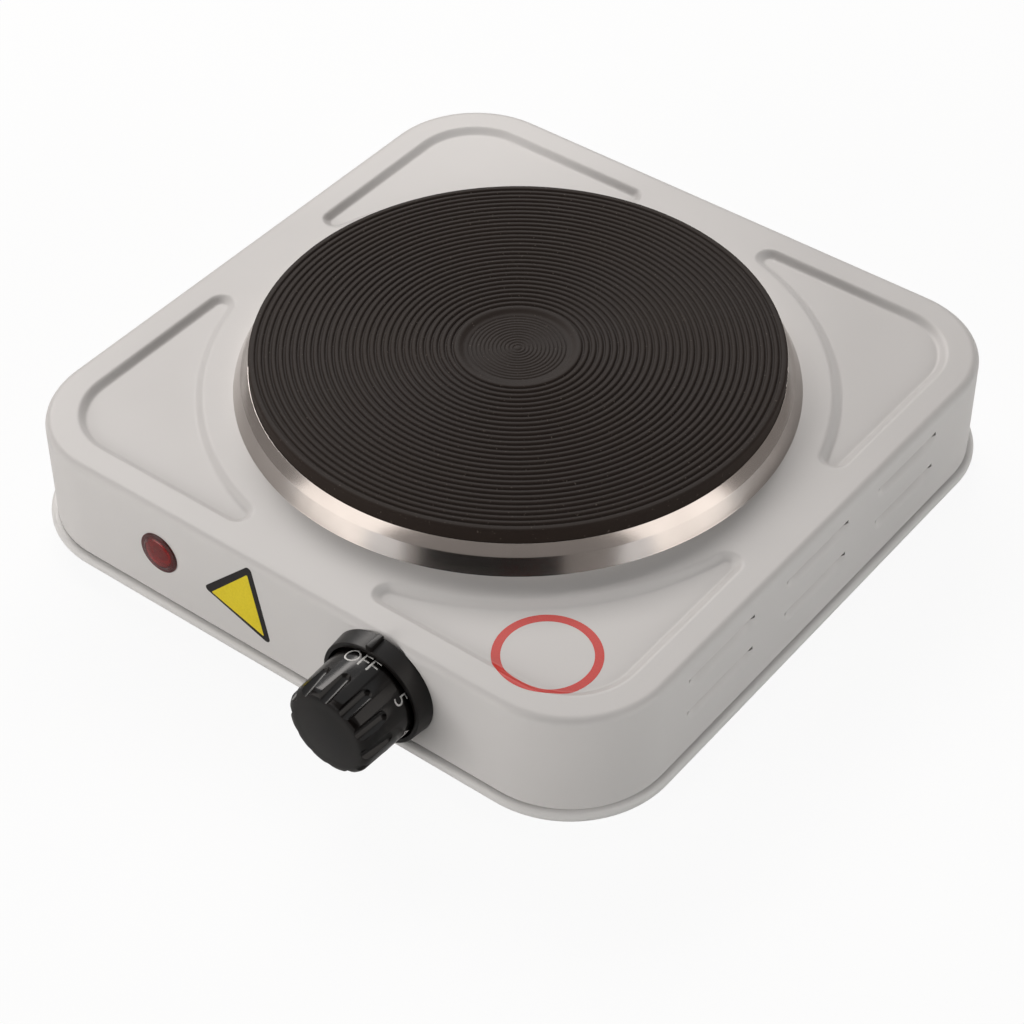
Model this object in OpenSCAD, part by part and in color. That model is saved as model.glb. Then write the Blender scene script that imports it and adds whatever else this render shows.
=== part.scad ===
// Single hot plate burner: a cast-iron electric plate in a pressed steel housing,
// with a rotary thermostat, a pilot lamp and a cord bush in the rear wall.
// Millimetres, +Z up. The rubber feet stand on Z = 0 and the front is -Y.

/* [Housing] */
// Width and depth over the rolled rim of the base tray
overall_w = 210; // [190:1:255]
// Height from the underside of the tray to the top of the housing
case_h = 36; // [32:0.5:46]
// How far the tray's rim stands out beyond the housing wall
rim_out = 2; // [1:0.1:4]
// Height of the tray's rolled rim
rim_h = 3; // [2.4:0.1:4]
// Radius of the housing's upright corners
corner_r = 30; // [25:1:38]
// Radius of the housing's top edge
edge_r = 2.5; // [1.2:0.1:4]
// Thickness of the housing and tray sheet
sheet_t = 0.8; // [0.6:0.1:1.2]
// Height of the feet under the tray
foot_h = 5; // [4:0.5:9]
// Foot centres from the left and right sides of the rim
foot_in_x = 43; // [36:1:50]
// Foot centres from the front and rear sides of the rim
foot_in_y = 24; // [21:1:30]
// Radius of a rubber foot
foot_r = 8; // [6.5:0.5:10]

/* [Corner pads] */
// Distance from the wall to the straight edges of a sunk pad
pad_in = 8.8; // [7:0.1:12]
// Depth of a pad
pad_d = 1.5; // [0.8:0.1:2.2]
// Width of the slope down to a pad's floor
pad_slope = 3.2; // [2:0.1:4]
// Flat land between two pads, on the housing's centre line
pad_land = 43; // [30:1:60]
// Distance from the trim ring to a pad's inner arc
pad_gap = 8; // [5:0.1:12]

/* [Louvres] */
// Length of one louvre
louvre_l = 30; // [20:1:36]
// Height of one louvre's opening
louvre_h = 5; // [3:0.1:6.5]
// How far a louvre's slat is pressed inwards
louvre_d = 3.2; // [2:0.1:4]
// Spacing of the three louvres in a row
louvre_pitch = 45.4; // [38:0.1:52]
// Shift of the louvre rows along the side, from its centre
louvre_shift = -2; // [-6:0.5:6]
// Upper edge of the top row, below the housing's top
louvre_drop = 6; // [5:0.1:9]
// Spacing of the two rows
row_pitch = 11.9; // [8:0.1:14]

/* [Hot plate] */
// Diameter of the cast plate
plate_d = 151.3; // [126:0.1:158]
// Height of the plate's face above the housing
plate_rise = 12; // [10:0.1:18]
// Height of the plate's rim, from its face to its step
plate_rim_h = 9; // [7.6:0.1:12]
// Height of the whole casting, from its face to the end of its skirt
casting_h = 16; // [14.5:0.1:22]
// Thickness of the casting under its face
plate_web = 7; // [5:0.1:7.5]
// Wall of the casting's skirt
skirt_t = 4; // [3:0.1:6]
// Step from the rim in to the skirt
skirt_in = 5; // [4:0.1:7]
// Spacing of the grooves in the face
groove_pitch = 1.965; // [1.5:0.005:3]
// Depth of a groove
groove_d = 0.5; // [0.2:0.05:0.8]
// Radius where the grooves begin, at the edge of the sunk middle
hub_r = 17.4; // [12:0.1:22]
// Depth of the sunk middle
hub_d = 0.8; // [0.3:0.1:1.4]
// Spacing of the fine rings in the sunk middle
ring_pitch = 1.15; // [0.8:0.05:1.6]
// Radius of a heating coil's tube of turns
coil_r = 2.6; // [1.8:0.1:2.8]

/* [Trim ring] */
// Height of the trim ring over the housing
ring_h = 7.5; // [6:0.1:8.5]
// How far the foot of the ring stands out beyond the plate's rim
ring_out = 4.4; // [3:0.1:6]
// Width of the hem round the ring's foot
hem_w = 0.5; // [0.3:0.1:1.6]
// Thickness of the ring's sheet
ring_t = 0.6; // [0.4:0.05:0.8]

/* [Clamp] */
// Radius of the stud that pulls the plate down
stud_r = 3; // [2.5:0.1:4]
// Width of the clamp bridge under the housing
bridge_w = 20; // [14:1:26]
// Height of the bridge's legs
bridge_h = 10.2; // [8:0.1:12]
// Thickness of the bridge's steel
bridge_t = 1.2; // [1:0.1:2]

/* [Controls] */
// Height of the knob and lamp above the underside of the tray
control_h = 20.2; // [18.5:0.1:24]
// Sideways place of the knob
knob_x = 35.2; // [30:0.1:60]
// Radius of the knob at its back
knob_r = 13.9; // [12:0.1:16]
// Reach of the knob from the housing wall
knob_reach = 23.7; // [20:0.1:30]
// Number of finger grooves round the knob
knob_flutes = 12; // [6:1:14]
// Depth of the fixed bezel behind the knob
bezel_d = 5.6; // [4.6:0.1:7]
// Wall of the bezel at its front
bezel_t = 1.4; // [1:0.1:2.5]
// Angle the knob turns, from OFF to its highest setting
knob_turn = 300; // [240:5:320]
// Lead of the spindle's thread
thread_lead = 1; // [0.75:0.05:1.25]
// Radius of the spindle
spindle_r = 3; // [2.5:0.05:3.2]
// Sideways place of the lamp
lamp_x = -44.2; // [-60:0.1:-36]
// Radius of the lamp's lens
lamp_r = 6.45; // [5.5:0.05:9]
// Height of the lens's dome
lens_h = 1.4; // [0.8:0.1:3]

/* [Mains side] */
// Sideways place of the cord bush in the rear wall
gland_x = 0; // [-30:1:30]
// Bore of the cord bush, as a radius
gland_bore_r = 3.6; // [3:0.1:4.2]
// Radius of the cord bush's outer flange
gland_r = 9; // [8:0.1:11]
// Width of the ceramic terminal block
block_w = 36; // [32:1:44]
// Thickness of an internal lead, over its glass-fibre sleeve
lead_d = 2.6; // [2:0.1:3.2]

/* [Clearances] */
// Gap between pieces that are slid together and stay put
fit = 0.1; // [0.05:0.01:0.2]
// Radial gap of a turning or sliding pair
run = 0.05; // [0.03:0.01:0.1]
// Gap kept between the moving and the fixed pieces
air = 0.3; // [0.3:0.05:0.6]

/* [Hidden] */
$fn = 64;

// Levels above the table, and how far a cut runs past the face it opens
tray_z = foot_h;
floor_z = tray_z + sheet_t;
wall_z = tray_z + rim_h;
top_z = tray_z + case_h;
under_z = top_z - sheet_t;
cut = 1;

// Plan sizes, from the housing's centre
rim_half = overall_w / 2;
wall_half = rim_half - rim_out;
inner_half = wall_half - sheet_t;
inner_r = corner_r - sheet_t;
corner_c = wall_half - corner_r;
front_y = -wall_half;
foot_x = rim_half - foot_in_x;
foot_y = rim_half - foot_in_y;
gland_out = 3;
through = sheet_t + 2 * cut;
centre_y = (wall_half + knob_reach - max(rim_half, wall_half + gland_out)) / 2;

// Plate and trim ring
plate_r = plate_d / 2;
face_z = top_z + plate_rise;
step_z = face_z - plate_rim_h;
skirt_z = face_z - casting_h;
web_z = face_z - plate_web;
skirt_r = plate_r - skirt_in;
cavity_r = skirt_r - skirt_t;
ring_bore_r = plate_r + fit;
ring_top_z = top_z + ring_h;
ring_foot_r = plate_r + ring_out;
ring_edge_r = ring_foot_r + hem_w;
skirt_gap = 1;
case_hole_r = skirt_r + skirt_gap;
cover_t = 0.8;
cover_sink = 1.2;
cover_z = skirt_z + cover_sink;
fill_z = cover_z + cover_t;
cover_r = cavity_r - fit;
boss_r = 10;
rib_t = 3;
rib_in_r = 30;
rib_mid_r = (rib_in_r + rib_t + cavity_r) / 2;
channel_half = (cavity_r - rib_mid_r - rib_t) / 2;
coil_lift = 0.3;
coil_z = (fill_z + web_z) / 2 + coil_lift;
coil_in_r = (rib_in_r + rib_t + rib_mid_r) / 2;
coil_out_r = cavity_r - channel_half;
coil_end_a = 8;
pin_a = 270 - coil_end_a;
cross_a = 270 + coil_end_a;
pin_r = 1.4;
link_r = 1.2;
pin_drop = 13;
pin_low_z = skirt_z - pin_drop;
bead_r = min(4, channel_half - air);
bead_flange_r = min(5.4, channel_half - air);
bead_flange_t = 1.5;
bead_drop = 3.5;
bead_low_z = skirt_z - bead_drop;

// Clamp, with a nut and washer in the usual proportions to the stud
bridge_z = under_z - bridge_h;
nut_h = 5;
nut_r = stud_r * 1.92;
washer_t = 1;
washer_r = stud_r * 2.6;
thread_end = 3;
stud_low_z = bridge_z - washer_t - nut_h - thread_end;
bridge_leg_gap = 7;
bridge_leg_x = case_hole_r + bridge_leg_gap;
bridge_foot = 9;

// Knob and bezel, with distances measured out from the housing wall
knob_gap = 0.6;
draft = 0.5;
bezel_front_r = knob_r + knob_gap + bezel_t;
bezel_r = bezel_front_r + draft;
bezel_floor_t = 1.2;
knob_front_r = knob_r - draft;
knob_wall = 1.6;
front_round = 2.6;
dome_h = 0.5;
face_t = 3;
hub_out_r = 5;
hub_back = 4;
pocket_front = knob_reach - face_t;
flat_off = 1.5;
clip_w = 4;
clip_l = 8;
clip_t = 0.4;
clip_back = 7;
flute_r = 2.2;
flute_off = knob_r + 0.9;
flute_back = 15;

// Height of the controls' axis, with the bezel kept clear of the tray's rim
axis_z = max(tray_z + control_h, wall_z + bezel_r + air);

// Thermostat, with distances measured back from the outer face of the front wall
bracket_t = 1.2;
bracket_front = sheet_t;
bracket_back = bracket_front + bracket_t;
bracket_reach = 14;
bracket_half_h = 11;
bush_r = 5;
bush_flange = 1.2;
bush_flange_t = 1.4;
bush_l = 13;
bush_back = bracket_back + bush_l;
spindle_back = 9;
spindle_front = -16;
flat_l = 10;
spindle_travel = thread_lead * knob_turn / 360;
pin_tip_r = 1.5;
spring_back = 8;
spring_face = spindle_back + spring_back;
pin_back = spring_face - spindle_travel - air;
spring_t = 0.3;
blade_t = 0.6;
bimetal_t = 1;
spacer_t = 3;
fixed_face = spring_face + spring_t + spacer_t;
bimetal_face = fixed_face + blade_t + spacer_t;
end_t = 1.5;
end_face = bimetal_face + bimetal_t + end_t;
stack_off = 16;
stack_x = knob_x - stack_off;
stack_r = 4.5;
stack_edge = 2;
rivet_r = 1.6;
rivet_head_r = 3.04;
rivet_head_t = 1.2;
blade_w = 7;
blade_reach = 12;
tab_reach = 16;
screw_off = 8.8;
screw_r = 1.9;
screw_end = 2;
screw_head_r = 3;
screw_head_t = 1.8;
cross_w = 0.7;
cross_l = 4;
cross_d = 1;
knob_back = bezel_floor_t + spindle_travel + knob_gap;

// Lamp
lens_lip = 1.1;
lens_tube_l = 3;
lamp_wall = 1;
lamp_hole_r = lamp_r - lens_lip;
lamp_tube_r = lamp_hole_r - fit;
lamp_len = 24;
lamp_floor_t = 4;
bulb_r = 2.6;
bulb_gap = 0.5;
bulb_l = 12;
wire_off = 2;
wire_r = 0.4;
wire_hole_r = 0.9;
wire_out = 3;
collar_r = 8.6;
collar_t = 0.5;
collar_grip = 2;

// Cord bush and terminal block
gland_neck_r = gland_r - 2.6;
gland_taper = 1.2;
gland_lip_r = gland_r - 0.8;
gland_in = 2.5;
block_in = 30;
block_y = inner_half - block_in;
block_l = 18;
block_h = 14;
way_pitch = block_w / 3.3;
way_screw_y = 5;
way_screw_r = 1.5;
way_bore_r = 1.8;
insert_w = 6.4;
insert_h = 5.6;
insert_in = 1;
insert_lift = 4;
insert_z = floor_z + insert_lift;
lead_r = lead_d / 2;
way_z = insert_z + insert_h / 2;
block_front = block_y - block_l / 2;
earth_gap = 13;
earth_x = gland_x + block_w / 2 + earth_gap;
earth_y = block_y - 4;

// Sets the appliance down with the middle of its footprint on the origin
module set_down() {
    translate([0, centre_y, 0]) children();
}

// Turns a shape whose +Z points out of the front wall, about a control's axis
module on_front(x) {
    translate([x, front_y, axis_z]) rotate([90, 0, 0]) children();
}

// Square outline with round corners
module round_square(half, r) {
    square([2 * half, 2 * (half - r)], center = true);
    square([2 * (half - r), 2 * half], center = true);
    for (x = [-1, 1], y = [-1, 1])
        translate([x * (half - r), y * (half - r)]) circle(r);
}

// Sweeps a profile, drawn out from a corner's axis, round a square of straight runs and corners
module around(c) {
    for (i = [0:3]) rotate(90 * i) {
        translate([c, c, 0]) rotate_extrude(angle = 90) children();
        translate([c, c, 0]) rotate([90, 0, 0]) linear_extrude(2 * c) children();
    }
}

// Section of a block from a corner's axis out to its side, with a rounded top edge
module edge_section(r, z0, z1, f) {
    translate([0, z0]) square([r, z1 - f - z0]);
    translate([0, z1 - f]) square([r - f, f]);
    translate([r - f, z1 - f]) intersection() {
        circle(f);
        square(f);
    }
}

// Block with round upright corners and a rounded top edge
module soft_block(c, r, z0, z1, f) {
    around(c) edge_section(r, z0, z1, f);
    translate([-c, -c, z0]) cube([2 * c, 2 * c, z1 - z0]);
}

// ---- Sunk corner pads: a curved triangle between the walls, the corner and the trim ring ----

pad_half = wall_half - pad_in;
pad_corner_r = corner_r - pad_in;
pad_inner_r = ring_edge_r + pad_gap;
land = pad_land / 2;
tip_b = pad_half + pad_inner_r - land;
tip_r = tip_b - sqrt(tip_b * tip_b - land * land - pad_half * pad_half + pad_inner_r * pad_inner_r);
tip_x = land + tip_r;
tip_y = pad_half - tip_r;
tip_a = atan2(tip_x, tip_y);
arc_gap = 2;
tip_n = 6;
inner_n = 12;
corner_n = 7;

// Points of an arc about c
function arc(c, r, a0, a1, n) = [for (i = [0:n]) let (a = a0 + (a1 - a0) * i / n) c + r * [cos(a), sin(a)]];

// Outline of a pad, drawn in by s from its upper edge
function pad_ring(s) = let (k = pad_half - pad_corner_r) concat(
    arc([k, k], pad_corner_r - s, 0, 90, corner_n),
    arc([tip_x, tip_y], tip_r - s, 90, 270 - tip_a, tip_n),
    arc([0, 0], pad_inner_r + s, 90 - tip_a - arc_gap, tip_a + arc_gap, inner_n),
    arc([tip_y, tip_x], tip_r - s, 180 + tip_a, 360, tip_n));

// Pad as a loft of outlines that sink along half a cosine wave, from a level of z
module pad_loft(z, grow, depth, rise, steps = 3) {
    rings = concat([[-grow, rise]],
        [for (i = [0:steps]) [pad_slope * i / steps - grow, -depth * (1 - cos(180 * i / steps)) / 2]]);
    pts = [for (q = rings) for (p = pad_ring(q[0])) [p[0], p[1], z + q[1]]];
    n = len(pad_ring(0));
    m = len(rings);
    faces = concat(
        [[for (j = [0:n - 1]) n - 1 - j]],
        [[for (j = [0:n - 1]) (m - 1) * n + j]],
        [for (i = [0:m - 2]) for (j = [0:n - 1])
            [i * n + j, i * n + (j + 1) % n, (i + 1) * n + (j + 1) % n]],
        [for (i = [0:m - 2]) for (j = [0:n - 1])
            [i * n + j, (i + 1) * n + (j + 1) % n, (i + 1) * n + j]]);
    for (i = [0:3]) rotate(90 * i) polyhedron(pts, faces);
}

// ---- Louvres: slats pressed in from the side walls, open along their upper edge ----

// Wedge behind one opening, from x = out back to a slat that leans in from x = base
module louvre_wedge(grow, out, base) {
    l = louvre_l / 2 + grow;
    h = louvre_h + grow;
    d = louvre_d - base;
    end = louvre_d;
    pts = [[out, -l, -h], [out, l, -h], [out, l, 0], [out, -l, 0],
        [base, -l, -h], [base, l, -h], [base, l, 0], [base, -l, 0],
        [-d, l - end, 0], [-d, end - l, 0]];
    polyhedron(pts, [[3, 2, 1, 0], [1, 5, 4, 0], [2, 6, 5, 1], [4, 7, 3, 0],
        [3, 7, 9, 8, 6, 2], [5, 8, 9, 4], [6, 8, 5], [9, 7, 4]]);
}

module at_louvres() {
    for (side = [0, 1], row = [0, 1], col = [-1:1])
        mirror([side, 0, 0])
            translate([wall_half, louvre_shift + col * louvre_pitch, top_z - louvre_drop - row * row_pitch])
                children();
}

module housing_shell() color("gainsboro") set_down() difference() {
    union() {
        difference() {
            soft_block(corner_c, corner_r, wall_z, top_z, edge_r);
            soft_block(corner_c, inner_r, wall_z - cut, under_z, edge_r - sheet_t);
        }
        pad_loft(top_z - sheet_t, sheet_t, pad_d, sheet_t / 2);
        at_louvres() louvre_wedge(sheet_t, -sheet_t / 2, -sheet_t);
    }
    pad_loft(top_z, 0, pad_d, cut);
    at_louvres() louvre_wedge(0, cut, 0);
    translate([0, 0, under_z - cut]) cylinder(r = case_hole_r, h = through);
    on_front(knob_x) {
        translate([0, 0, -sheet_t - cut]) cylinder(r = bush_r + fit, h = through);
        for (x = [-screw_off, screw_off])
            translate([x, 0, -sheet_t - cut]) cylinder(r = screw_r + fit, h = through);
    }
    on_front(lamp_x) translate([0, 0, -sheet_t - cut]) cylinder(r = lamp_hole_r, h = through);
    translate([gland_x, inner_half - cut, axis_z]) rotate([-90, 0, 0])
        cylinder(r = gland_neck_r + fit, h = through);
}

// ---- Base tray with a rolled rim, an upstand inside the housing and vent slots ----

upstand_h = 5;
rim_roll_r = rim_h / 2;
rim_c_r = corner_r + rim_out - rim_roll_r;
upstand_r = inner_r - fit;
vent_r = 1.5;
vent_l = 22;
vent_n = 12;
vent_in_r = 24;

// Section of the rim, drawn out from a corner's axis
module rim_section() {
    translate([rim_c_r, tray_z + rim_roll_r]) intersection() {
        difference() {
            circle(rim_roll_r);
            circle(rim_roll_r - sheet_t);
        }
        translate([0, -rim_h]) square([rim_h, 2 * rim_h]);
    }
    translate([upstand_r - sheet_t, wall_z - sheet_t]) square([rim_c_r - upstand_r + sheet_t, sheet_t]);
    translate([upstand_r - sheet_t, wall_z]) square([sheet_t, upstand_h]);
}

module slot(l, r, h) {
    linear_extrude(h) {
        square([l - 2 * r, 2 * r], center = true);
        for (x = [-1, 1]) translate([x * (l / 2 - r), 0]) circle(r);
    }
}

module at_feet() {
    for (x = [-foot_x, foot_x], y = [-foot_y, foot_y]) translate([x, y, 0]) children();
}

module base_tray() color("silver") set_down() difference() {
    union() {
        around(corner_c) rim_section();
        translate([0, 0, tray_z]) linear_extrude(sheet_t)
            round_square(corner_c + rim_c_r, rim_c_r);
    }
    at_feet() translate([0, 0, tray_z - cut]) cylinder(r = foot_screw_r + fit, h = through);
    for (i = [0:vent_n - 1]) rotate(360 * (i + 0.5) / vent_n)
        translate([vent_in_r + vent_l / 2, 0, tray_z - cut]) slot(vent_l, vent_r, through);
    for (x = block_fixings) translate([gland_x + x, block_y, tray_z - cut])
        cylinder(r = block_screw_r + fit, h = through);
    translate([earth_x, earth_y, tray_z - cut]) cylinder(r = earth_r + fit, h = through);
}

// ---- Feet, and the tapped pillars they are screwed to ----

foot_screw_r = 2;
foot_head_r = 3.6;
foot_head_h = 2;
foot_head_gap = 0.4;
foot_web = 1.6;
foot_edge = 0.6;
foot_taper = 1;
foot_cross_l = 4.4;
foot_cross_w = 0.8;
pillar_r = 4.5;
pillar_h = 9;
arm_w = 12;
leg_h = 10;
foot_screw_top = floor_z + pillar_h + 1;

module corner_brackets() color("lightslategray") set_down() for (x = [-1, 1], y = [-1, 1])
    mirror([x < 0 ? 1 : 0, 0, 0]) mirror([0, y < 0 ? 1 : 0, 0]) difference() {
        union() {
            translate([foot_x, foot_y, floor_z]) cylinder(r = pillar_r, h = pillar_h);
            translate([foot_x - arm_w / 2, foot_y, floor_z + pillar_h - bracket_t])
                cube([arm_w, inner_half - foot_y, bracket_t]);
            translate([foot_x - arm_w / 2, inner_half - bracket_t, floor_z + pillar_h - bracket_t])
                cube([arm_w, bracket_t, leg_h]);
            translate([foot_x, foot_y, floor_z + pillar_h - bracket_t])
                cylinder(r = arm_w / 2, h = bracket_t);
        }
        translate([foot_x, foot_y, floor_z - cut]) cylinder(r = foot_screw_r + run, h = pillar_h + 2 * cut);
    }

module rubber_feet() color("dimgray") set_down() at_feet() difference() {
    union() {
        cylinder(r1 = foot_r - foot_edge, r2 = foot_r, h = foot_edge);
        translate([0, 0, foot_edge]) cylinder(r1 = foot_r, r2 = foot_r - foot_taper, h = foot_h - foot_edge);
    }
    translate([0, 0, -cut]) cylinder(r = foot_head_r + foot_head_gap, h = foot_h - foot_web + cut);
    translate([0, 0, -cut]) cylinder(r = foot_screw_r + fit, h = foot_h + 2 * cut);
}

module foot_screws() color("silver") set_down() at_feet() difference() {
    union() {
        translate([0, 0, foot_h - foot_web - foot_head_h]) cylinder(r = foot_head_r, h = foot_head_h);
        translate([0, 0, foot_h - foot_web])
            cylinder(r = foot_screw_r, h = foot_screw_top - foot_h + foot_web);
    }
    for (a = [0, 90]) rotate(a)
        translate([-foot_cross_l / 2, -foot_cross_w / 2, foot_h - foot_web - foot_head_h - cut])
            cube([foot_cross_l, foot_cross_w, cut + cross_d]);
}

// ---- Cast plate: grooved face, bevelled rim, skirt, ribs and a tapped boss ----

bevel = 0.7;
groove_top = groove_pitch * 0.6;
groove_low = groove_pitch * 0.2;
hub_slope = 2;
hub_land = 0.6;
hub_floor_r = hub_r - hub_slope - hub_land;
face_edge = 0.4;
groove_n = floor((plate_r - bevel - face_edge - hub_r) / groove_pitch);
ring_half_w = 0.35;
ring_edge = 0.9;
ring_n = floor((hub_floor_r - ring_edge) / ring_pitch);
ring_d = 0.2;

// Points across the face, from the middle out to the bevel
function face_points() = concat(
    [[0, face_z - hub_d]],
    [for (i = [1:ring_n]) each [[i * ring_pitch - ring_half_w, face_z - hub_d],
        [i * ring_pitch, face_z - hub_d - ring_d],
        [i * ring_pitch + ring_half_w, face_z - hub_d]]],
    [[hub_floor_r, face_z - hub_d], [hub_r - hub_land, face_z]],
    [for (i = [0:groove_n - 1]) let (r = hub_r + groove_pitch * (i + 0.5)) each [
        [r - groove_top / 2, face_z],
        [r - groove_low / 2, face_z - groove_d],
        [r + groove_low / 2, face_z - groove_d],
        [r + groove_top / 2, face_z]]],
    [[plate_r - bevel, face_z], [plate_r, face_z - bevel]]);

module casting_section() {
    polygon(concat(face_points(), [
        [plate_r, step_z], [skirt_r, step_z], [skirt_r, skirt_z], [cavity_r, skirt_z],
        [cavity_r, web_z], [rib_mid_r + rib_t, web_z], [rib_mid_r + rib_t, fill_z],
        [rib_mid_r, fill_z], [rib_mid_r, web_z], [rib_in_r + rib_t, web_z],
        [rib_in_r + rib_t, fill_z], [rib_in_r, fill_z], [rib_in_r, web_z],
        [boss_r, web_z], [boss_r, fill_z], [0, fill_z]]));
}

// Wire link between the two coil rings, where it passes through the middle rib
module coil_link(r) {
    rotate(cross_a) translate([coil_in_r, 0, coil_z]) rotate([0, 90, 0])
        cylinder(r = r, h = coil_out_r - coil_in_r);
}

module hotplate_casting() color([0.16, 0.15, 0.14]) set_down() difference() {
    rotate_extrude() casting_section();
    translate([0, 0, fill_z - cut]) cylinder(r = stud_r + run, h = web_z - fill_z + 2 * cut);
    coil_link(link_r + fit);
}

module coil_ring(r, tube) {
    rotate(cross_a) rotate_extrude(angle = 360 - 2 * coil_end_a) translate([r, coil_z]) circle(tube);
}

module heating_coil() color("darkgray") set_down() {
    coil_ring(coil_in_r, coil_r);
    coil_ring(coil_out_r, coil_r);
    coil_link(link_r);
}

// Section of the fill in one channel, with the coil's tunnel through it
module fill_section(r0, r1) {
    difference() {
        translate([r0 + run, fill_z]) square([r1 - r0 - 2 * run, web_z - fill_z - run]);
        translate([(r0 + r1) / 2, coil_z]) circle(coil_r + run);
    }
}

module magnesia_fill() color("ivory") set_down() difference() {
    rotate_extrude() {
        fill_section(rib_in_r + rib_t, rib_mid_r);
        fill_section(rib_mid_r + rib_t, cavity_r);
    }
    at_pins() translate([0, 0, fill_z - cut]) cylinder(r = pin_r + run, h = coil_z - fill_z);
    coil_link(link_r + run);
}

module at_pins() {
    for (r = [coil_in_r, coil_out_r]) rotate(pin_a) translate([r, 0, 0]) children();
}

module plate_back_cover() color("lightsteelblue") set_down() difference() {
    translate([0, 0, cover_z]) cylinder(r = cover_r, h = cover_t);
    translate([0, 0, cover_z - cut]) cylinder(r = stud_r + fit, h = cover_t + 2 * cut);
    at_pins() translate([0, 0, cover_z - cut]) cylinder(r = bead_r + fit, h = cover_t + 2 * cut);
}

module element_pins() color("silver") set_down() at_pins()
    translate([0, 0, pin_low_z]) cylinder(r = pin_r, h = coil_z - coil_r - run - pin_low_z);

module ceramic_beads() color("white") set_down() at_pins() difference() {
    union() {
        translate([0, 0, bead_low_z]) cylinder(r = bead_r, h = fill_z - bead_low_z);
        translate([0, 0, cover_z - bead_flange_t]) cylinder(r = bead_flange_r, h = bead_flange_t);
    }
    translate([0, 0, bead_low_z - cut]) cylinder(r = pin_r + fit, h = fill_z - bead_low_z + 2 * cut);
}

// ---- Stainless trim ring: a folded skirt between the plate's rim and the housing ----

crease_out = 0.6;
crease_down = 0.37;
crease_r = plate_r + ring_out * crease_out;
crease_z = ring_top_z - ring_h * crease_down;
seat_r = skirt_r + 0.4;
lip_w = 0.3;
lip_h = 0.15;
fold_drop = 0.3;
lip_drop = 0.8;

module trim_ring() color("gainsboro") set_down() rotate_extrude() polygon([
    [seat_r, step_z], [ring_bore_r, step_z], [ring_bore_r, ring_top_z],
    [ring_bore_r + lip_w, ring_top_z + lip_h], [crease_r, crease_z], [ring_foot_r, top_z + ring_t],
    [ring_edge_r, top_z + ring_t], [ring_edge_r, top_z], [ring_foot_r - ring_t, top_z],
    [crease_r - ring_t, crease_z - fold_drop], [ring_bore_r + ring_t, ring_top_z - lip_drop],
    [ring_bore_r + ring_t, step_z - ring_t], [seat_r, step_z - ring_t]]);

// ---- Stud, bridge and nuts that pull the plate down on to the housing ----

module mounting_stud() color("silver") set_down()
    translate([0, 0, stud_low_z]) cylinder(r = stud_r, h = web_z - stud_low_z - run);

module hex_nut(z, h) {
    translate([0, 0, z]) difference() {
        cylinder(r = nut_r, h = h, $fn = 6);
        translate([0, 0, -cut]) cylinder(r = stud_r + run, h = h + 2 * cut);
    }
}

module cover_nut() color("silver") set_down() hex_nut(cover_z - nut_h, nut_h);

module bridge_nut() color("silver") set_down() hex_nut(bridge_z - washer_t - nut_h, nut_h);

module bridge_washer() color("silver") set_down() translate([0, 0, bridge_z - washer_t]) difference() {
    cylinder(r = washer_r, h = washer_t);
    translate([0, 0, -cut]) cylinder(r = stud_r + fit, h = washer_t + 2 * cut);
}

module clamp_bridge() color("slategray") set_down() difference() {
    union() {
        translate([-bridge_leg_x, -bridge_w / 2, bridge_z]) cube([2 * bridge_leg_x, bridge_w, bridge_t]);
        for (side = [0, 1]) mirror([side, 0, 0]) {
            translate([bridge_leg_x - bridge_t, -bridge_w / 2, bridge_z])
                cube([bridge_t, bridge_w, bridge_h]);
            translate([bridge_leg_x - bridge_t, -bridge_w / 2, under_z - bridge_t])
                cube([bridge_foot, bridge_w, bridge_t]);
        }
    }
    translate([0, 0, bridge_z - cut]) cylinder(r = stud_r + fit, h = bridge_t + 2 * cut);
}

// ---- Thermostat: bracket, threaded bush, spindle, push pin and a riveted stack of blades ----

// Places a shape whose +Z points back from the front wall's outer face
module from_front(x) {
    translate([x, front_y, axis_z]) rotate([-90, 0, 0]) children();
}

// Ends of the bracket, kept off the tray's upstand and the rounded edge of the housing
bracket_low_z = max(axis_z - bracket_half_h, wall_z + upstand_h + air);
bracket_top_z = min(axis_z + bracket_half_h, under_z - edge_r + sheet_t - air);
bracket_x = stack_x - stack_r - stack_edge;

module thermostat_bracket() color("lightslategray") set_down() difference() {
    translate([bracket_x, front_y + bracket_front, bracket_low_z])
        cube([knob_x + bracket_reach - bracket_x, bracket_t, bracket_top_z - bracket_low_z]);
    from_front(knob_x) {
        cylinder(r = bush_r + run, h = bracket_back + cut);
        for (x = [-screw_off, screw_off])
            translate([x, 0, 0]) cylinder(r = screw_r + run, h = bracket_back + cut);
    }
    from_front(stack_x) cylinder(r = rivet_r + run, h = bracket_back + cut);
}

module thermostat_bush() color("goldenrod") set_down() from_front(knob_x) difference() {
    union() {
        cylinder(r = bush_r, h = bush_back);
        translate([0, 0, bracket_back]) cylinder(r = bush_r + bush_flange, h = bush_flange_t);
    }
    translate([0, 0, -cut]) cylinder(r = spindle_r + run, h = spindle_back + spindle_travel + air + cut);
    cylinder(r = pin_tip_r + run, h = bush_back + cut);
}

module thermostat_screws() color("silver") set_down() for (x = [-screw_off, screw_off])
    on_front(knob_x) translate([x, 0, 0]) difference() {
        union() {
            translate([0, 0, bezel_floor_t]) cylinder(r = screw_head_r, h = screw_head_t);
            translate([0, 0, -bracket_back - screw_end])
                cylinder(r = screw_r, h = bracket_back + screw_end + bezel_floor_t);
        }
        for (a = [0, 90]) rotate(a)
            translate([-cross_l / 2, -cross_w / 2, bezel_floor_t + screw_head_t - cross_d])
                cube([cross_l, cross_w, cross_d + cut]);
    }

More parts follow.
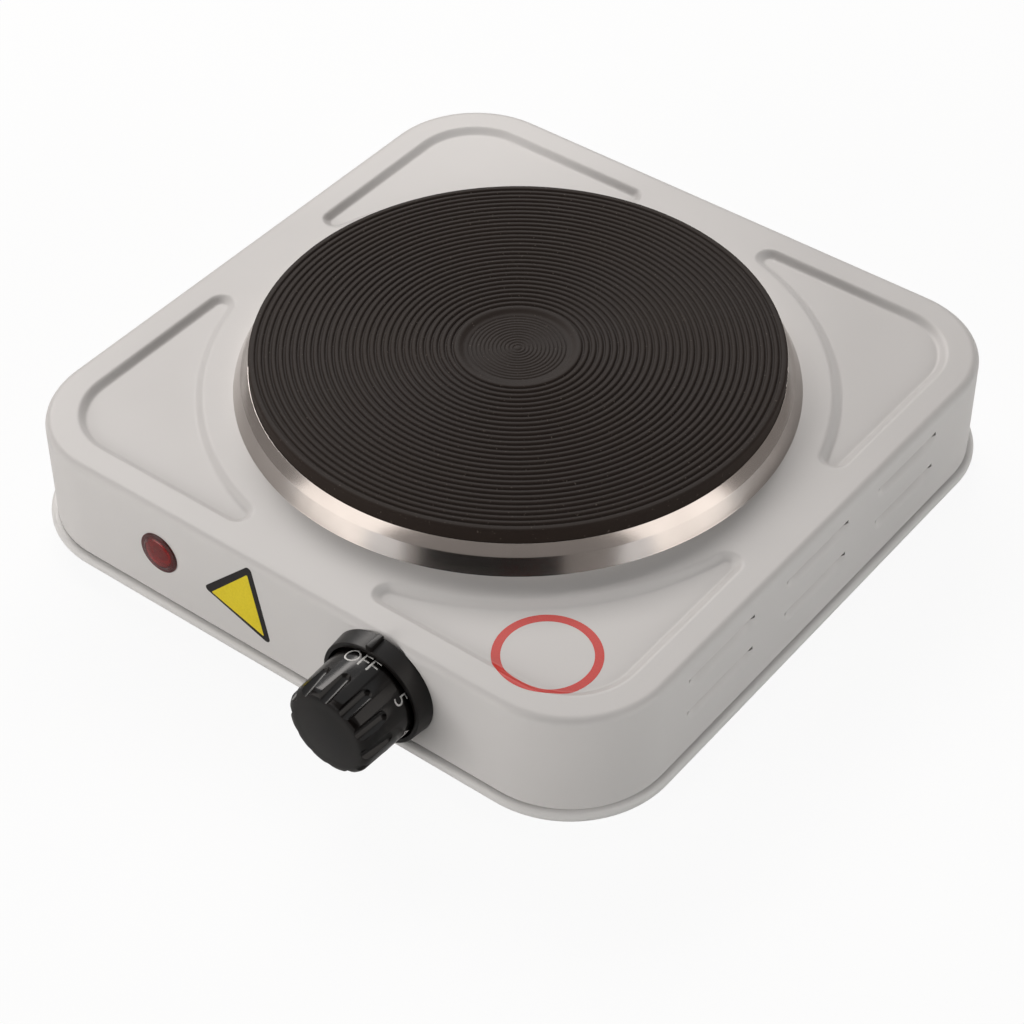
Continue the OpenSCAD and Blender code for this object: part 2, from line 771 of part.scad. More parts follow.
module control_spindle() color("silver") set_down() from_front(knob_x) difference() {
    translate([0, 0, spindle_front]) cylinder(r = spindle_r, h = spindle_back - spindle_front);
    translate([-spindle_r - cut, -spindle_r - cut - flat_off, spindle_front - cut])
        cube([2 * spindle_r + 2 * cut, spindle_r + cut, flat_l + cut]);
}

module push_pin() color("white") set_down() from_front(knob_x)
    translate([0, 0, spindle_back + run]) cylinder(r = pin_tip_r, h = pin_back - spindle_back - run);

module spacer(z0, z1) {
    translate([0, 0, z0]) difference() {
        cylinder(r = stack_r, h = z1 - z0);
        translate([0, 0, -cut]) cylinder(r = rivet_r + fit, h = z1 - z0 + 2 * cut);
    }
}

module stack_insulators() color("ivory") set_down() from_front(stack_x) {
    spacer(bracket_back, spring_face);
    spacer(spring_face + spring_t, fixed_face);
    spacer(fixed_face + blade_t, bimetal_face);
    spacer(bimetal_face + bimetal_t, end_face);
}

// Flat blade across the stack: tab_l towards the lead, reach past the spindle
module blade(z0, t, tab_l, reach) {
    translate([0, 0, z0]) difference() {
        translate([-tab_l, -blade_w / 2, 0]) cube([tab_l + stack_off + reach, blade_w, t]);
        translate([0, 0, -cut]) cylinder(r = rivet_r + fit, h = t + 2 * cut);
        if (tab_l > stack_r) for (side = [-1, 1])
            translate([-tab_l - cut, side * (blade_w + tab_w) / 2 - blade_w / 2, -cut])
                cube([tab_l - stack_r, blade_w, t + 2 * cut]);
    }
}

tab_w = 5.4;
contact_r = 2;
contact_t = 0.8;
contact_off = 8;

module contact_spring() color("goldenrod") set_down() from_front(stack_x) {
    blade(spring_face, spring_t, tab_reach, blade_reach);
    translate([stack_off + contact_off, 0, spring_face + spring_t]) cylinder(r = contact_r, h = contact_t);
}

module fixed_contact() color("goldenrod") set_down() from_front(stack_x) {
    blade(fixed_face, blade_t, tab_reach, blade_reach);
    translate([stack_off + contact_off, 0, fixed_face - contact_t]) cylinder(r = contact_r, h = contact_t);
}

module bimetal_blade() color("lightgray") set_down() from_front(stack_x)
    blade(bimetal_face, bimetal_t, stack_r, contact_off + contact_r);

module stack_rivet() color("silver") set_down() from_front(stack_x) {
    translate([0, 0, bracket_front]) cylinder(r = rivet_r, h = end_face - bracket_front);
    translate([0, 0, end_face]) cylinder(r = rivet_head_r, h = rivet_head_t);
}

// ---- Knob and its fixed bezel ----

rib_w = 1.8;
rib_rise = 1.1;

module knob_bezel() color([0.1, 0.1, 0.1]) set_down() on_front(knob_x) difference() {
    union() {
        cylinder(r1 = bezel_r, r2 = bezel_front_r, h = bezel_d);
        translate([-rib_w / 2, bezel_front_r - bezel_t / 2, 0])
            cube([rib_w, bezel_t / 2 + draft + rib_rise, bezel_d]);
    }
    translate([0, 0, bezel_floor_t]) cylinder(r = bezel_front_r - bezel_t, h = bezel_d);
    translate([0, 0, -cut]) cylinder(r = bush_r + fit, h = bezel_floor_t + 2 * cut);
    for (x = [-screw_off, screw_off])
        translate([x, 0, -cut]) cylinder(r = screw_r + fit, h = bezel_floor_t + 2 * cut);
}

// Outer half section of the knob, from its axis
module knob_section() {
    edge = knob_front_r - front_round;
    polygon(concat([[0, knob_back], [knob_r, knob_back]],
        arc([edge, knob_reach - dome_h - front_round], front_round, 0, 90, 4),
        [for (k = [2:-1:0]) [edge * k / 3, knob_reach - dome_h * k * k / 9]]));
}

module knob_flute() {
    translate([flute_off, 0, flute_back]) {
        cylinder(r = flute_r, h = knob_reach);
        sphere(flute_r);
    }
}

hub_bore_l = -spindle_front + 0.5;
pocket_r = knob_front_r - flute_r - knob_wall + knob_gap;

module knob() color([0.08, 0.08, 0.08]) set_down() on_front(knob_x) difference() {
    rotate_extrude() knob_section();
    for (i = [0:knob_flutes - 1]) rotate(90 + 360 * i / knob_flutes) knob_flute();
    difference() {
        translate([0, 0, knob_back - cut]) cylinder(r = pocket_r, h = pocket_front - knob_back + cut);
        translate([0, 0, hub_back]) cylinder(r = hub_out_r, h = pocket_front);
    }
    translate([0, 0, knob_back - cut])
        cylinder(r = knob_r - knob_wall, h = flute_back - flute_r - knob_back);
    difference() {
        cylinder(r = spindle_r + run, h = hub_bore_l);
        translate([-spindle_r - cut, flat_off + clip_t + 2 * fit, clip_back - cut])
            cube([2 * spindle_r + 2 * cut, spindle_r, hub_bore_l]);
    }
}

module knob_spring_clip() color("silver") set_down() on_front(knob_x)
    translate([-clip_w / 2, flat_off + fit, clip_back]) cube([clip_w, clip_t, clip_l]);

// ---- Pilot lamp ----

module lens_section() {
    intersection() {
        translate([0, lens_h - lens_ball_r]) circle(lens_ball_r, $fn = 720);
        square([lamp_r, lens_h]);
    }
}

lens_rim = 0.6;
lens_ball_r = (lamp_r * lamp_r + (lens_h - lens_rim) * (lens_h - lens_rim)) / (2 * (lens_h - lens_rim));

module lamp_lens() color([0.7, 0.05, 0.05, 0.8]) set_down() on_front(lamp_x) difference() {
    union() {
        rotate_extrude() lens_section();
        translate([0, 0, -lens_tube_l]) cylinder(r = lamp_tube_r, h = lens_tube_l);
    }
    translate([0, 0, -lens_tube_l - cut]) cylinder(r = lamp_tube_r - lamp_wall, h = lens_tube_l + cut);
}

module lamp_body() color("white") set_down() on_front(lamp_x) difference() {
    union() {
        translate([0, 0, -lamp_len]) cylinder(r = lamp_tube_r, h = lamp_len - lens_tube_l);
        translate([0, 0, -lamp_len]) cylinder(r = lamp_tube_r - lamp_wall - fit, h = lamp_len - lamp_wall);
    }
    translate([0, 0, lamp_floor_t - lamp_len]) cylinder(r = bulb_r + bulb_gap, h = lamp_len);
    for (x = [-wire_off, wire_off])
        translate([x, 0, -lamp_len - cut]) cylinder(r = wire_hole_r, h = lamp_floor_t + 2 * cut);
}

bulb_low = lamp_floor_t + 1 - lamp_len;

module neon_bulb() color([1, 0.8, 0.6, 0.6]) set_down() on_front(lamp_x) {
    translate([0, 0, bulb_low]) cylinder(r = bulb_r, h = bulb_l);
    translate([0, 0, bulb_low + bulb_l]) sphere(bulb_r);
    for (x = [-wire_off, wire_off]) translate([x, 0, -lamp_len - wire_out])
        cylinder(r = wire_r, h = bulb_low + lamp_len + wire_out + 2 * fit);
}

module lamp_clip() color("silver") set_down() on_front(lamp_x) difference() {
    union() {
        translate([0, 0, -sheet_t - collar_t]) cylinder(r = collar_r, h = collar_t);
        translate([0, 0, -sheet_t - collar_t - collar_grip])
            cylinder(r1 = lamp_tube_r + collar_t, r2 = lamp_tube_r + 2 * collar_t, h = collar_grip);
    }
    translate([0, 0, -sheet_t - collar_t - collar_grip - cut])
        cylinder(r = lamp_tube_r + run, h = collar_grip + collar_t + 2 * cut);
}

// ---- Cord bush and terminal block ----

module cord_bush() color([0.12, 0.12, 0.12]) set_down()
    translate([gland_x, wall_half, axis_z]) rotate([-90, 0, 0]) difference() {
        union() {
            cylinder(r1 = gland_r, r2 = gland_r - gland_taper, h = gland_out);
            translate([0, 0, -sheet_t]) cylinder(r = gland_neck_r, h = sheet_t);
            translate([0, 0, -sheet_t - gland_in]) cylinder(r = gland_lip_r, h = gland_in);
        }
        translate([0, 0, -sheet_t - gland_in - cut])
            cylinder(r = gland_bore_r, h = gland_in + through + gland_out);
    }

block_screw_r = 1.5;
block_head_r = 2.4;
block_head_t = 1.6;
block_sink = 3;
block_fixings = [-way_pitch / 2, way_pitch / 2];
screw_hole_r = 2.2;
slot_w = 0.6;
slot_l = 4;

module at_ways() {
    for (i = [-1:1]) translate([gland_x + i * way_pitch, block_y, 0]) children();
}

module terminal_block() color("white") set_down() difference() {
    translate([gland_x - block_w / 2, block_front, floor_z]) cube([block_w, block_l, block_h]);
    at_ways() {
        translate([-insert_w / 2 - fit, -block_l / 2 - cut, insert_z - fit])
            cube([insert_w + 2 * fit, block_l + 2 * cut, insert_h + 2 * fit]);
        for (y = [-way_screw_y, way_screw_y])
            translate([0, y, insert_z]) cylinder(r = screw_hole_r, h = block_h);
    }
    for (x = block_fixings) translate([gland_x + x, block_y, floor_z]) {
        translate([0, 0, -cut]) cylinder(r = block_screw_r + fit, h = block_h + 2 * cut);
        translate([0, 0, block_h - block_sink])
            cylinder(r = block_head_r + 2 * fit, h = block_sink + cut);
    }
}

module terminal_inserts() color("goldenrod") set_down() at_ways() difference() {
    translate([-insert_w / 2, insert_in - block_l / 2, insert_z])
        cube([insert_w, block_l - 2 * insert_in, insert_h]);
    translate([0, block_l / 2, way_z]) rotate([90, 0, 0]) cylinder(r = way_bore_r, h = block_l);
    for (y = [-way_screw_y, way_screw_y])
        translate([0, y, way_z]) cylinder(r = way_screw_r + run, h = insert_h);
}

way_screw_l = 6;
way_slot_d = 0.8;
way_screw_in = 0.6;

module terminal_screws() color("silver") set_down() at_ways() for (y = [-way_screw_y, way_screw_y])
    translate([0, y, way_z + way_screw_in]) difference() {
        cylinder(r = way_screw_r, h = way_screw_l);
        translate([-slot_l / 2, -slot_w / 2, way_screw_l - way_slot_d])
            cube([slot_l, slot_w, way_slot_d + cut]);
    }

block_screw_low = tray_z - 1.6;
block_head_z = floor_z + block_h - block_sink;

module block_screws() color("silver") set_down() for (x = block_fixings)
    translate([gland_x + x, block_y, block_head_z]) difference() {
        union() {
            translate([0, 0, block_screw_low - block_head_z])
                cylinder(r = block_screw_r, h = block_head_z - block_screw_low + run);
            cylinder(r = block_head_r, h = block_head_t);
        }
        translate([-slot_l / 2, -slot_w / 2, block_head_t - way_slot_d])
            cube([slot_l, slot_w, way_slot_d + cut]);
    }

earth_r = 2;
earth_head_r = 3.6;
earth_head_t = 1.8;
earth_l = 9;
earth_nut_r = 4;
earth_nut_h = 3;
thread_bite = 0.2;
tag_t = 0.8;
tag_w = 5;
tag_l = 12;
tag_top_z = floor_z + tag_t;

module earth_screw() color("goldenrod") set_down() translate([earth_x, earth_y, 0]) {
    translate([0, 0, tray_z - earth_head_t]) cylinder(r = earth_head_r, h = earth_head_t);
    translate([0, 0, tray_z - earth_head_t]) cylinder(r = earth_r, h = earth_head_t + earth_l);
    translate([0, 0, tag_top_z]) difference() {
        cylinder(r = earth_nut_r, h = earth_nut_h, $fn = 6);
        translate([0, 0, -cut]) cylinder(r = earth_r - thread_bite, h = earth_nut_h + 2 * cut);
    }
}

module earth_tag() color("gold") set_down() translate([earth_x, earth_y, floor_z]) difference() {
    union() {
        cylinder(r = earth_nut_r, h = tag_t);
        translate([-tag_w / 2, -tag_l, 0]) cube([tag_w, tag_l, tag_t]);
    }
    translate([0, 0, -cut]) cylinder(r = earth_r + fit, h = tag_t + 2 * cut);
}

// ---- Internal leads: sleeved wires swept along a smooth run of hand-placed points ----

lead_sides = 8;
lead_steps = 3;

// Smooth run through the points, by a Catmull-Rom curve
function curve_point(p, i, t) = let (
    a = p[max(i - 1, 0)], b = p[i], c = p[i + 1], d = p[min(i + 2, len(p) - 1)])
    0.5 * (2 * b + (c - a) * t + (2 * a - 5 * b + 4 * c - d) * t * t + (3 * b - a - 3 * c + d) * t * t * t);
function curve(p) = concat([for (i = [0:len(p) - 2]) for (k = [0:lead_steps - 1])
    curve_point(p, i, k / lead_steps)], [p[len(p) - 1]]);
function unit(v) = v / norm(v);

module lead(points) {
    path = curve(points);
    n = len(path);
    rings = [for (i = [0:n - 1]) let (
        t = unit(path[min(i + 1, n - 1)] - path[max(i - 1, 0)]),
        u = unit(cross([0, 0, 1], t)),
        v = cross(t, u))
        for (k = [0:lead_sides - 1])
            path[i] + lead_r * (cos(360 * k / lead_sides) * u + sin(360 * k / lead_sides) * v)];
    s = lead_sides;
    faces = concat(
        [[for (k = [0:s - 1]) k]],
        [[for (k = [0:s - 1]) n * s - 1 - k]],
        [for (i = [0:n - 2]) for (k = [0:s - 1])
            [i * s + k, (i + 1) * s + (k + 1) % s, i * s + (k + 1) % s]],
        [for (i = [0:n - 2]) for (k = [0:s - 1])
            [i * s + k, (i + 1) * s + k, (i + 1) * s + (k + 1) % s]]);
    polyhedron(rings, faces);
}

// Where the leads end
way_end_y = block_front + 0.6;
lead_low_z = floor_z + 6;
tab_end_x = stack_x - tab_reach;
tab_touch_x = tab_end_x - 0.3;
lamp_end_y = front_y + lamp_len + wire_out + 0.2;
weld_up = 1.5;
pin_in = [coil_in_r * cos(pin_a), coil_in_r * sin(pin_a), pin_low_z + weld_up];
pin_out = [coil_out_r * cos(pin_a), coil_out_r * sin(pin_a), pin_low_z + weld_up];
pin_touch = pin_r + 0.3;
tag_lead_z = tag_top_z + lead_r + fit;

module live_lead() color("firebrick") set_down() lead([
    [gland_x - way_pitch, way_end_y, way_z], [gland_x - way_pitch - 1, way_end_y - 10, way_z],
    [-20, 25, lead_low_z], [-22, 0, lead_low_z], [-20, -30, lead_low_z], [-18, -60, lead_low_z + 2],
    [-14, front_y + spring_face - 2, axis_z - 6], [tab_end_x - 7, front_y + spring_face, axis_z],
    [tab_touch_x, front_y + spring_face, axis_z]]);

module heater_lead() color("firebrick") set_down() lead([
    [tab_touch_x, front_y + fixed_face + blade_t, axis_z], [tab_end_x - 4, front_y + fixed_face + 2, axis_z],
    [-2, pin_out[1] - 9, pin_out[2]], [pin_out[0] + 6, pin_out[1] - 2, pin_out[2]],
    [pin_out[0] + pin_touch + 2, pin_out[1], pin_out[2]], [pin_out[0] + pin_touch, pin_out[1], pin_out[2]]]);

module neutral_lead() color("royalblue") set_down() lead([
    [gland_x, way_end_y, way_z], [gland_x + 1, way_end_y - 10, way_z],
    [14, 30, lead_low_z], [16, 0, lead_low_z], [12, pin_in[1] + 14, lead_low_z + 4],
    [pin_in[0] + 8, pin_in[1] + 3, pin_in[2] - 1],
    [pin_in[0] + pin_touch + 2, pin_in[1], pin_in[2]], [pin_in[0] + pin_touch, pin_in[1], pin_in[2]]]);

module lamp_leads() color("royalblue") set_down() {
    lead([[lamp_x + wire_off, lamp_end_y, axis_z], [lamp_x + 3, lamp_end_y + 6, axis_z],
        [-32, -62, pin_out[2]], [pin_out[0] - 7, pin_out[1] - 1, pin_out[2]],
        [pin_out[0] - pin_touch - 2, pin_out[1], pin_out[2]],
        [pin_out[0] - pin_touch, pin_out[1], pin_out[2]]]);
    lead([[lamp_x - wire_off, lamp_end_y, axis_z], [lamp_x - wire_off, lamp_end_y + 7, axis_z],
        [-34, -50, pin_in[2]], [pin_in[0] - 8, pin_in[1] - 1, pin_in[2]],
        [pin_in[0] - pin_touch - 2, pin_in[1], pin_in[2]], [pin_in[0] - pin_touch, pin_in[1], pin_in[2]]]);
}

module earth_lead() color("limegreen") set_down() lead([
    [gland_x + way_pitch, way_end_y, way_z], [gland_x + way_pitch, way_end_y - 7, way_z],
    [gland_x + way_pitch + 6, way_end_y - 16, floor_z + 4], [earth_x - 4, earth_y - 18, floor_z + 3],
    [earth_x, earth_y - tag_l, tag_lead_z], [earth_x, earth_y - tag_l / 2, tag_lead_z]]);

housing_shell();
base_tray();
corner_brackets();
rubber_feet();
foot_screws();
hotplate_casting();
heating_coil();
magnesia_fill();
plate_back_cover();
element_pins();
ceramic_beads();
trim_ring();
mounting_stud();
cover_nut();
clamp_bridge();
bridge_washer();
bridge_nut();
thermostat_bracket();
thermostat_bush();
thermostat_screws();
control_spindle();
push_pin();
stack_insulators();
contact_spring();
fixed_contact();
bimetal_blade();
stack_rivet();
knob_bezel();
knob();
knob_spring_clip();
lamp_lens();
lamp_body();
neon_bulb();
lamp_clip();
cord_bush();
terminal_block();
terminal_inserts();
terminal_screws();
block_screws();
earth_screw();
earth_tag();
live_lead();
heater_lead();
neutral_lead();
lamp_leads();
earth_lead();
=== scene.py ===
from math import ceil, cos, pi, radians, sin, sqrt, tan
import bmesh
import bpy
from mathutils import Matrix, Quaternion, Vector


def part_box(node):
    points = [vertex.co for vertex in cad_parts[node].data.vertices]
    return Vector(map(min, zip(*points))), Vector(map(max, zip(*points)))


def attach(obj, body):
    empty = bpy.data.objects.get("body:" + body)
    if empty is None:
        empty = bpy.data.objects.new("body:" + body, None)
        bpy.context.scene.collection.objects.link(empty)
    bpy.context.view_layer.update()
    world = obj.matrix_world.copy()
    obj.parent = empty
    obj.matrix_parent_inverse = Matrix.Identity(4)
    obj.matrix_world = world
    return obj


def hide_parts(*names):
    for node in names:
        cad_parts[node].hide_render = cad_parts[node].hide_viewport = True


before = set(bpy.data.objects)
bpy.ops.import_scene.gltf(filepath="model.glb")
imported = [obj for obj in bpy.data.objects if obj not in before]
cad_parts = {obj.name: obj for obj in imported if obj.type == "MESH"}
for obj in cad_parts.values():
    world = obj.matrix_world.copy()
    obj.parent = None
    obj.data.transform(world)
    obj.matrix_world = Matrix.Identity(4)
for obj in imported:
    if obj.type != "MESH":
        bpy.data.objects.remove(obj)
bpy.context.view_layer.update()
scene = bpy.context.scene
scene.view_settings.view_transform = "Standard"
mm = 0.001

# ---- Camera ----
# A long lens in front of the right-hand corner, 43 degrees up, as for a catalogue picture. Its
# focal length is given for a 36 mm wide sensor.
camera_azimuth = radians(37.75)
camera_elevation = radians(43.01)
camera_distance = 755.6 * mm
ring_low, ring_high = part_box("trim_ring")
middle_y = (ring_low.y + ring_high.y) / 2
camera_target = Vector((22.14, -31.55, 25)) * mm + Vector((0, middle_y, 0))
camera_roll = radians(-0.21)
camera_data = bpy.data.cameras.new("camera")
camera_data.sensor_width = 36
camera_data.lens = 95.84
camera = bpy.data.objects.new("camera", camera_data)
scene.collection.objects.link(camera)
to_camera = Vector((
    sin(camera_azimuth) * cos(camera_elevation),
    -cos(camera_azimuth) * cos(camera_elevation),
    sin(camera_elevation)))
camera.location = camera_target + camera_distance * to_camera
camera.rotation_mode = "QUATERNION"
camera.rotation_quaternion = to_camera.to_track_quat("Z", "Y") @ Quaternion((0, 0, 1), camera_roll)
scene.camera = camera


# ---- Studio: table, world and lamps ----
# A white sweep, a long bank of light behind the object on the left, and two low lamps that fill
# the front and right walls. What the bright ring mirrors is set up apart from these: two tall
# softboxes, the unlit walls of the room beside them, and a black flag under the lens.
def linear(hex_colour):
    """The linear colour, with alpha 1, of an sRGB hex colour."""
    levels = [int(hex_colour[i:i + 2], 16) / 255 for i in (1, 3, 5)]
    return [v / 12.92 if v <= 0.04045 else ((v + 0.055) / 1.055) ** 2.4 for v in levels] + [1]


def node(tree, kind, values=None, links=None, **settings):
    """Adds a shader node with its settings, its input values and the outputs it is fed from."""
    made = tree.nodes.new("ShaderNode" + kind)
    for name, value in settings.items():
        setattr(made, name, value)
    for name, value in (values or {}).items():
        made.inputs[name].default_value = value
    for name, output in (links or {}).items():
        tree.links.new(output, made.inputs[name])
    return made


def new_material(name):
    """An empty node material."""
    made = bpy.data.materials.new(name)
    made.use_nodes = True
    made.node_tree.nodes.clear()
    return made


def face_point(thing, point):
    """Turns a lamp or card so that its -Z side faces a point."""
    thing.rotation_mode = "QUATERNION"
    thing.rotation_quaternion = (thing.location - Vector(point)).to_track_quat("Z", "Y")


def backdrop_ray(tree, polish=1):
    """1 for a view of the backdrop, direct or through clear plastic, and polish for its reflection."""
    rays = node(tree, "LightPath").outputs
    mirrored = node(tree, "Math", {1: polish}, {0: rays["Is Glossy Ray"]}, operation="MULTIPLY")
    seen = node(tree, "Math", {}, {0: rays["Is Camera Ray"], 1: mirrored.outputs[0]}, operation="MAXIMUM")
    return node(tree, "Math", {}, {0: seen.outputs[0], 1: rays["Is Transmission Ray"]},
        operation="MAXIMUM").outputs[0]


def nothing_selected():
    bpy.ops.object.select_all(action="DESELECT")


nothing_selected()
bpy.ops.mesh.primitive_plane_add(size=12, location=(0, 0, 0))
floor = bpy.context.object
floor.name = "studio_floor"
sweep = new_material("white paper sweep")
tree = sweep.node_tree
paper = node(tree, "BsdfDiffuse", {"Color": linear("#d9d9d8")})
seen_paper = node(tree, "BsdfDiffuse", {"Color": linear("#4e4e4e")})
glow = node(tree, "Emission", {"Color": linear("#ffffff"), "Strength": 0.925})
lifted = node(tree, "AddShader", links={0: seen_paper.outputs[0], 1: glow.outputs[0]})
sweep_polish = 0.15
choice = node(tree, "MixShader", links={
    0: backdrop_ray(tree, sweep_polish), 1: paper.outputs[0], 2: lifted.outputs[0]})
node(tree, "OutputMaterial", links={"Surface": choice.outputs[0]})
floor.data.materials.append(sweep)

world = bpy.data.worlds.new("studio_room")
scene.world = world
world.use_nodes = True
tree = world.node_tree
tree.nodes.clear()
room = node(tree, "Background", {"Color": linear("#f6f4f2"), "Strength": 0.05})
white_wall = node(tree, "Background", {"Color": linear("#ffffff"), "Strength": 1.0})
choice = node(tree, "MixShader", links={
    0: backdrop_ray(tree), 1: room.outputs[0], 2: white_wall.outputs[0]})
node(tree, "OutputWorld", links={"Surface": choice.outputs[0]})

lamp_distance = 1.3
orbit_centre = Vector((0, 0, 30 * mm))
aim_point = (0, 0, 40 * mm)


def round_object(around, up, away=lamp_distance):
    """A place at an angle round the object from the front, an angle up and a distance in metres."""
    around, up = radians(around), radians(up)
    return away * Vector((sin(around) * cos(up), -cos(around) * cos(up), sin(up))) + orbit_centre


# Each lamp: name, angle round from the front and angle up, width and height, power and colour.
lamps = [
    ("key_bank", -127, 40, 1.2, 0.45, 12.3, "#fffaf6"),
    ("front_fill", -16, 14, 0.9, 0.4, 10.3, "#fffcf9"),
    ("right_fill", 106, 14, 0.9, 0.4, 7.5, "#fffefc"),
]
for name, around, up, width, height, power, colour in lamps:
    data = bpy.data.lights.new(name, "AREA")
    data.shape = "RECTANGLE"
    data.size = width
    data.size_y = height
    data.energy = power
    data.color = linear(colour)[:3]
    lamp = bpy.data.objects.new(name, data)
    scene.collection.objects.link(lamp)
    lamp.location = round_object(around, up)
    lamp.visible_glossy = name == "key_bank"
    face_point(lamp, aim_point)


def board(name, around, up, width, height, material, away=lamp_distance):
    """A flat board that only polished surfaces show. It faces the object and lights nothing."""
    nothing_selected()
    bpy.ops.mesh.primitive_plane_add(size=1, location=round_object(around, up, away))
    made = bpy.context.object
    made.name = name
    made.scale = (width, height, 1)
    face_point(made, aim_point)
    made.visible_camera = made.visible_diffuse = made.visible_shadow = False
    made.data.materials.append(material)


def plain_board(name, colour, strength):
    """The finish of a board, seen at one brightness."""
    made = new_material(name)
    tree = made.node_tree
    cloth = node(tree, "Emission", {"Color": linear(colour), "Strength": strength})
    node(tree, "OutputMaterial", links={"Surface": cloth.outputs[0]})
    return made


softbox = plain_board("softbox cloth", "#fff8f2", 1.7)
room_wall = plain_board("unlit studio wall", "#fff6f0", 0.27)
black_felt = plain_board("black felt", "#0c0c0c", 1)

# Each board: name, angle round from the front and angle up, width and height, and its finish.
board("softbox_left", -32, 27, 0.75, 1.6, softbox)
board("softbox_right", 102, 22, 0.8, 1.5, softbox)
board("wall_at_lens", 35, 38, 2.3, 2.1, room_wall)
board("wall_left", -76, 12, 1.2, 0.85, room_wall)
board("wall_right", 155, 26, 1.8, 1.7, room_wall)
board("flag_under_lens", 29, 9, 0.4, 0.2, black_felt, away=0.45)


# ---- Pressed housing ----
# One drawn sheet of mild steel, 0.8 mm thick: rounded corners, a small edge radius, four sunk pads
# on top and six louvres pressed into each side. It is powder coated, so its skin has a fine
# orange peel and no sharp edge. The tray closes it from below.
def edit():
    bpy.ops.object.mode_set(mode="EDIT")


def leave_edit():
    bpy.ops.object.mode_set(mode="OBJECT")


def pick(kind, test):
    """In edit mode, selects the verts, edges or faces that pass the test, and nothing else."""
    bpy.ops.mesh.select_mode(type={"verts": "VERT", "edges": "EDGE", "faces": "FACE"}[kind])
    bpy.ops.mesh.select_all(action="DESELECT")
    piece = bpy.context.edit_object
    shape = bmesh.from_edit_mesh(piece.data)
    found = 0
    for part in getattr(shape, kind):
        if test(part):
            part.select = True
            found += 1
    shape.select_flush_mode()
    bmesh.update_edit_mesh(piece.data)
    return found


def middle(part):
    """The middle of a face or an edge."""
    if hasattr(part, "calc_center_median"):
        return part.calc_center_median()
    return (part.verts[0].co + part.verts[1].co) / 2


def block(low, high):
    """A new box between two corners, with its place in its mesh."""
    nothing_selected()
    low, high = Vector(low), Vector(high)
    bpy.ops.mesh.primitive_cube_add(size=1, location=(low + high) / 2, scale=high - low)
    bpy.ops.object.transform_apply(location=True, rotation=True, scale=True)
    return bpy.context.object


def rod(radius, start, end, steps=64):
    """A new cylinder from one point to another, with its place in its mesh."""
    nothing_selected()
    start, end = Vector(start), Vector(end)
    bpy.ops.mesh.primitive_cylinder_add(
        vertices=steps, radius=radius, depth=(end - start).length, location=(start + end) / 2,
        rotation=(end - start).to_track_quat("Z", "Y").to_euler())
    bpy.ops.object.transform_apply(location=True, rotation=True, scale=True)
    return bpy.context.object


def join(pieces):
    """Joins pieces into the first one."""
    nothing_selected()
    for piece in pieces:
        piece.select_set(True)
    bpy.context.view_layer.objects.active = pieces[0]
    if len(pieces) > 1:
        bpy.ops.object.join()
    return pieces[0]


def modify(piece, kind, **settings):
    """Adds a modifier with its settings and applies it."""
    nothing_selected()
    piece.select_set(True)
    bpy.context.view_layer.objects.active = piece
    modifier = piece.modifiers.new(kind, kind)
    for name, value in settings.items():
        setattr(modifier, name, value)
    bpy.ops.object.modifier_apply(modifier=modifier.name)


def cut(piece, cutters, operation="DIFFERENCE"):
    """Cuts pieces away from a piece, or joins them to it, and removes the cutters."""
    cutter = join(cutters)
    modify(piece, "BOOLEAN", object=cutter, operation=operation, solver="EXACT", use_self=True)
    bpy.data.objects.remove(cutter)


def smooth(piece, angle=35):
    nothing_selected()
    piece.select_set(True)
    bpy.context.view_layer.objects.active = piece
    bpy.ops.object.shade_smooth_by_angle(angle=radians(angle))


def hand_in(piece, name, material, body, slot, *nodes):
    """Names a finished piece, gives it its material, hangs it on the empty of the body it moves with and
    hides the model's parts that it replaces.
    """
    piece.name = name
    piece.data.name = name
    piece.data.materials.clear()
    piece.data.materials.append(material)
    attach(piece, body)
    if nodes:
        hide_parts(*nodes)


shell_low, shell_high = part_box("housing_shell")
bezel_low, bezel_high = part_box("knob_bezel")
lens_low, lens_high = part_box("lamp_lens")
bush_low, bush_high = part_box("cord_bush")
half = shell_high.x
top_z = shell_high.z
wall_low_z = shell_low.z
front_y = shell_low.y
rear_y = shell_high.y
corner_r = 30 * mm
edge_r = 2.2 * mm
sheet = 0.8 * mm
seam_gap = 0.35 * mm
pad_in = 8.8 * mm
pad_depth = 1.5 * mm
pad_slope = 3.2 * mm
pad_land = 21.5 * mm
pad_inner_r = 88.55 * mm
pad_tip_cut = 1.2
spindle_hole_r = 5.1 * mm
lens_hole_r = 5.35 * mm
bush_hole_r = 6.5 * mm
control_z = (lens_low.z + lens_high.z) / 2
knob_x = (bezel_low.x + bezel_high.x) / 2
lamp_x = (lens_low.x + lens_high.x) / 2


def arc(centre, radius, start, end, steps):
    """Points of an arc, with angles in degrees."""
    angles = [radians(start + (end - start) * i / steps) for i in range(steps + 1)]
    return [centre + radius * Vector((cos(a), sin(a))) for a in angles]


def pad_outline(grow):
    """Outline of the pad in the rear right corner, about the housing's middle."""
    straight = half - pad_in
    corner = straight - (corner_r - pad_in)
    whole = straight + pad_inner_r - pad_land
    tip_r = whole - sqrt(whole ** 2 - pad_land ** 2 - straight ** 2 + pad_inner_r ** 2)
    tip = Vector((pad_land + tip_r, straight - tip_r))
    lean = 90 - Vector((tip.x, tip.y)).angle_signed(Vector((1, 0))) * 180 / pi
    return (
        arc(Vector((corner, corner)), corner_r - pad_in + grow, 0, 90, 24)
        + arc(tip, tip_r + grow, 90, 270 - lean, 14)
        + arc(Vector((0, 0)), pad_inner_r - grow, 90 - lean - pad_tip_cut, lean + pad_tip_cut, 40)
        + arc(Vector((tip.y, tip.x)), tip_r + grow, 180 + lean, 360, 14))


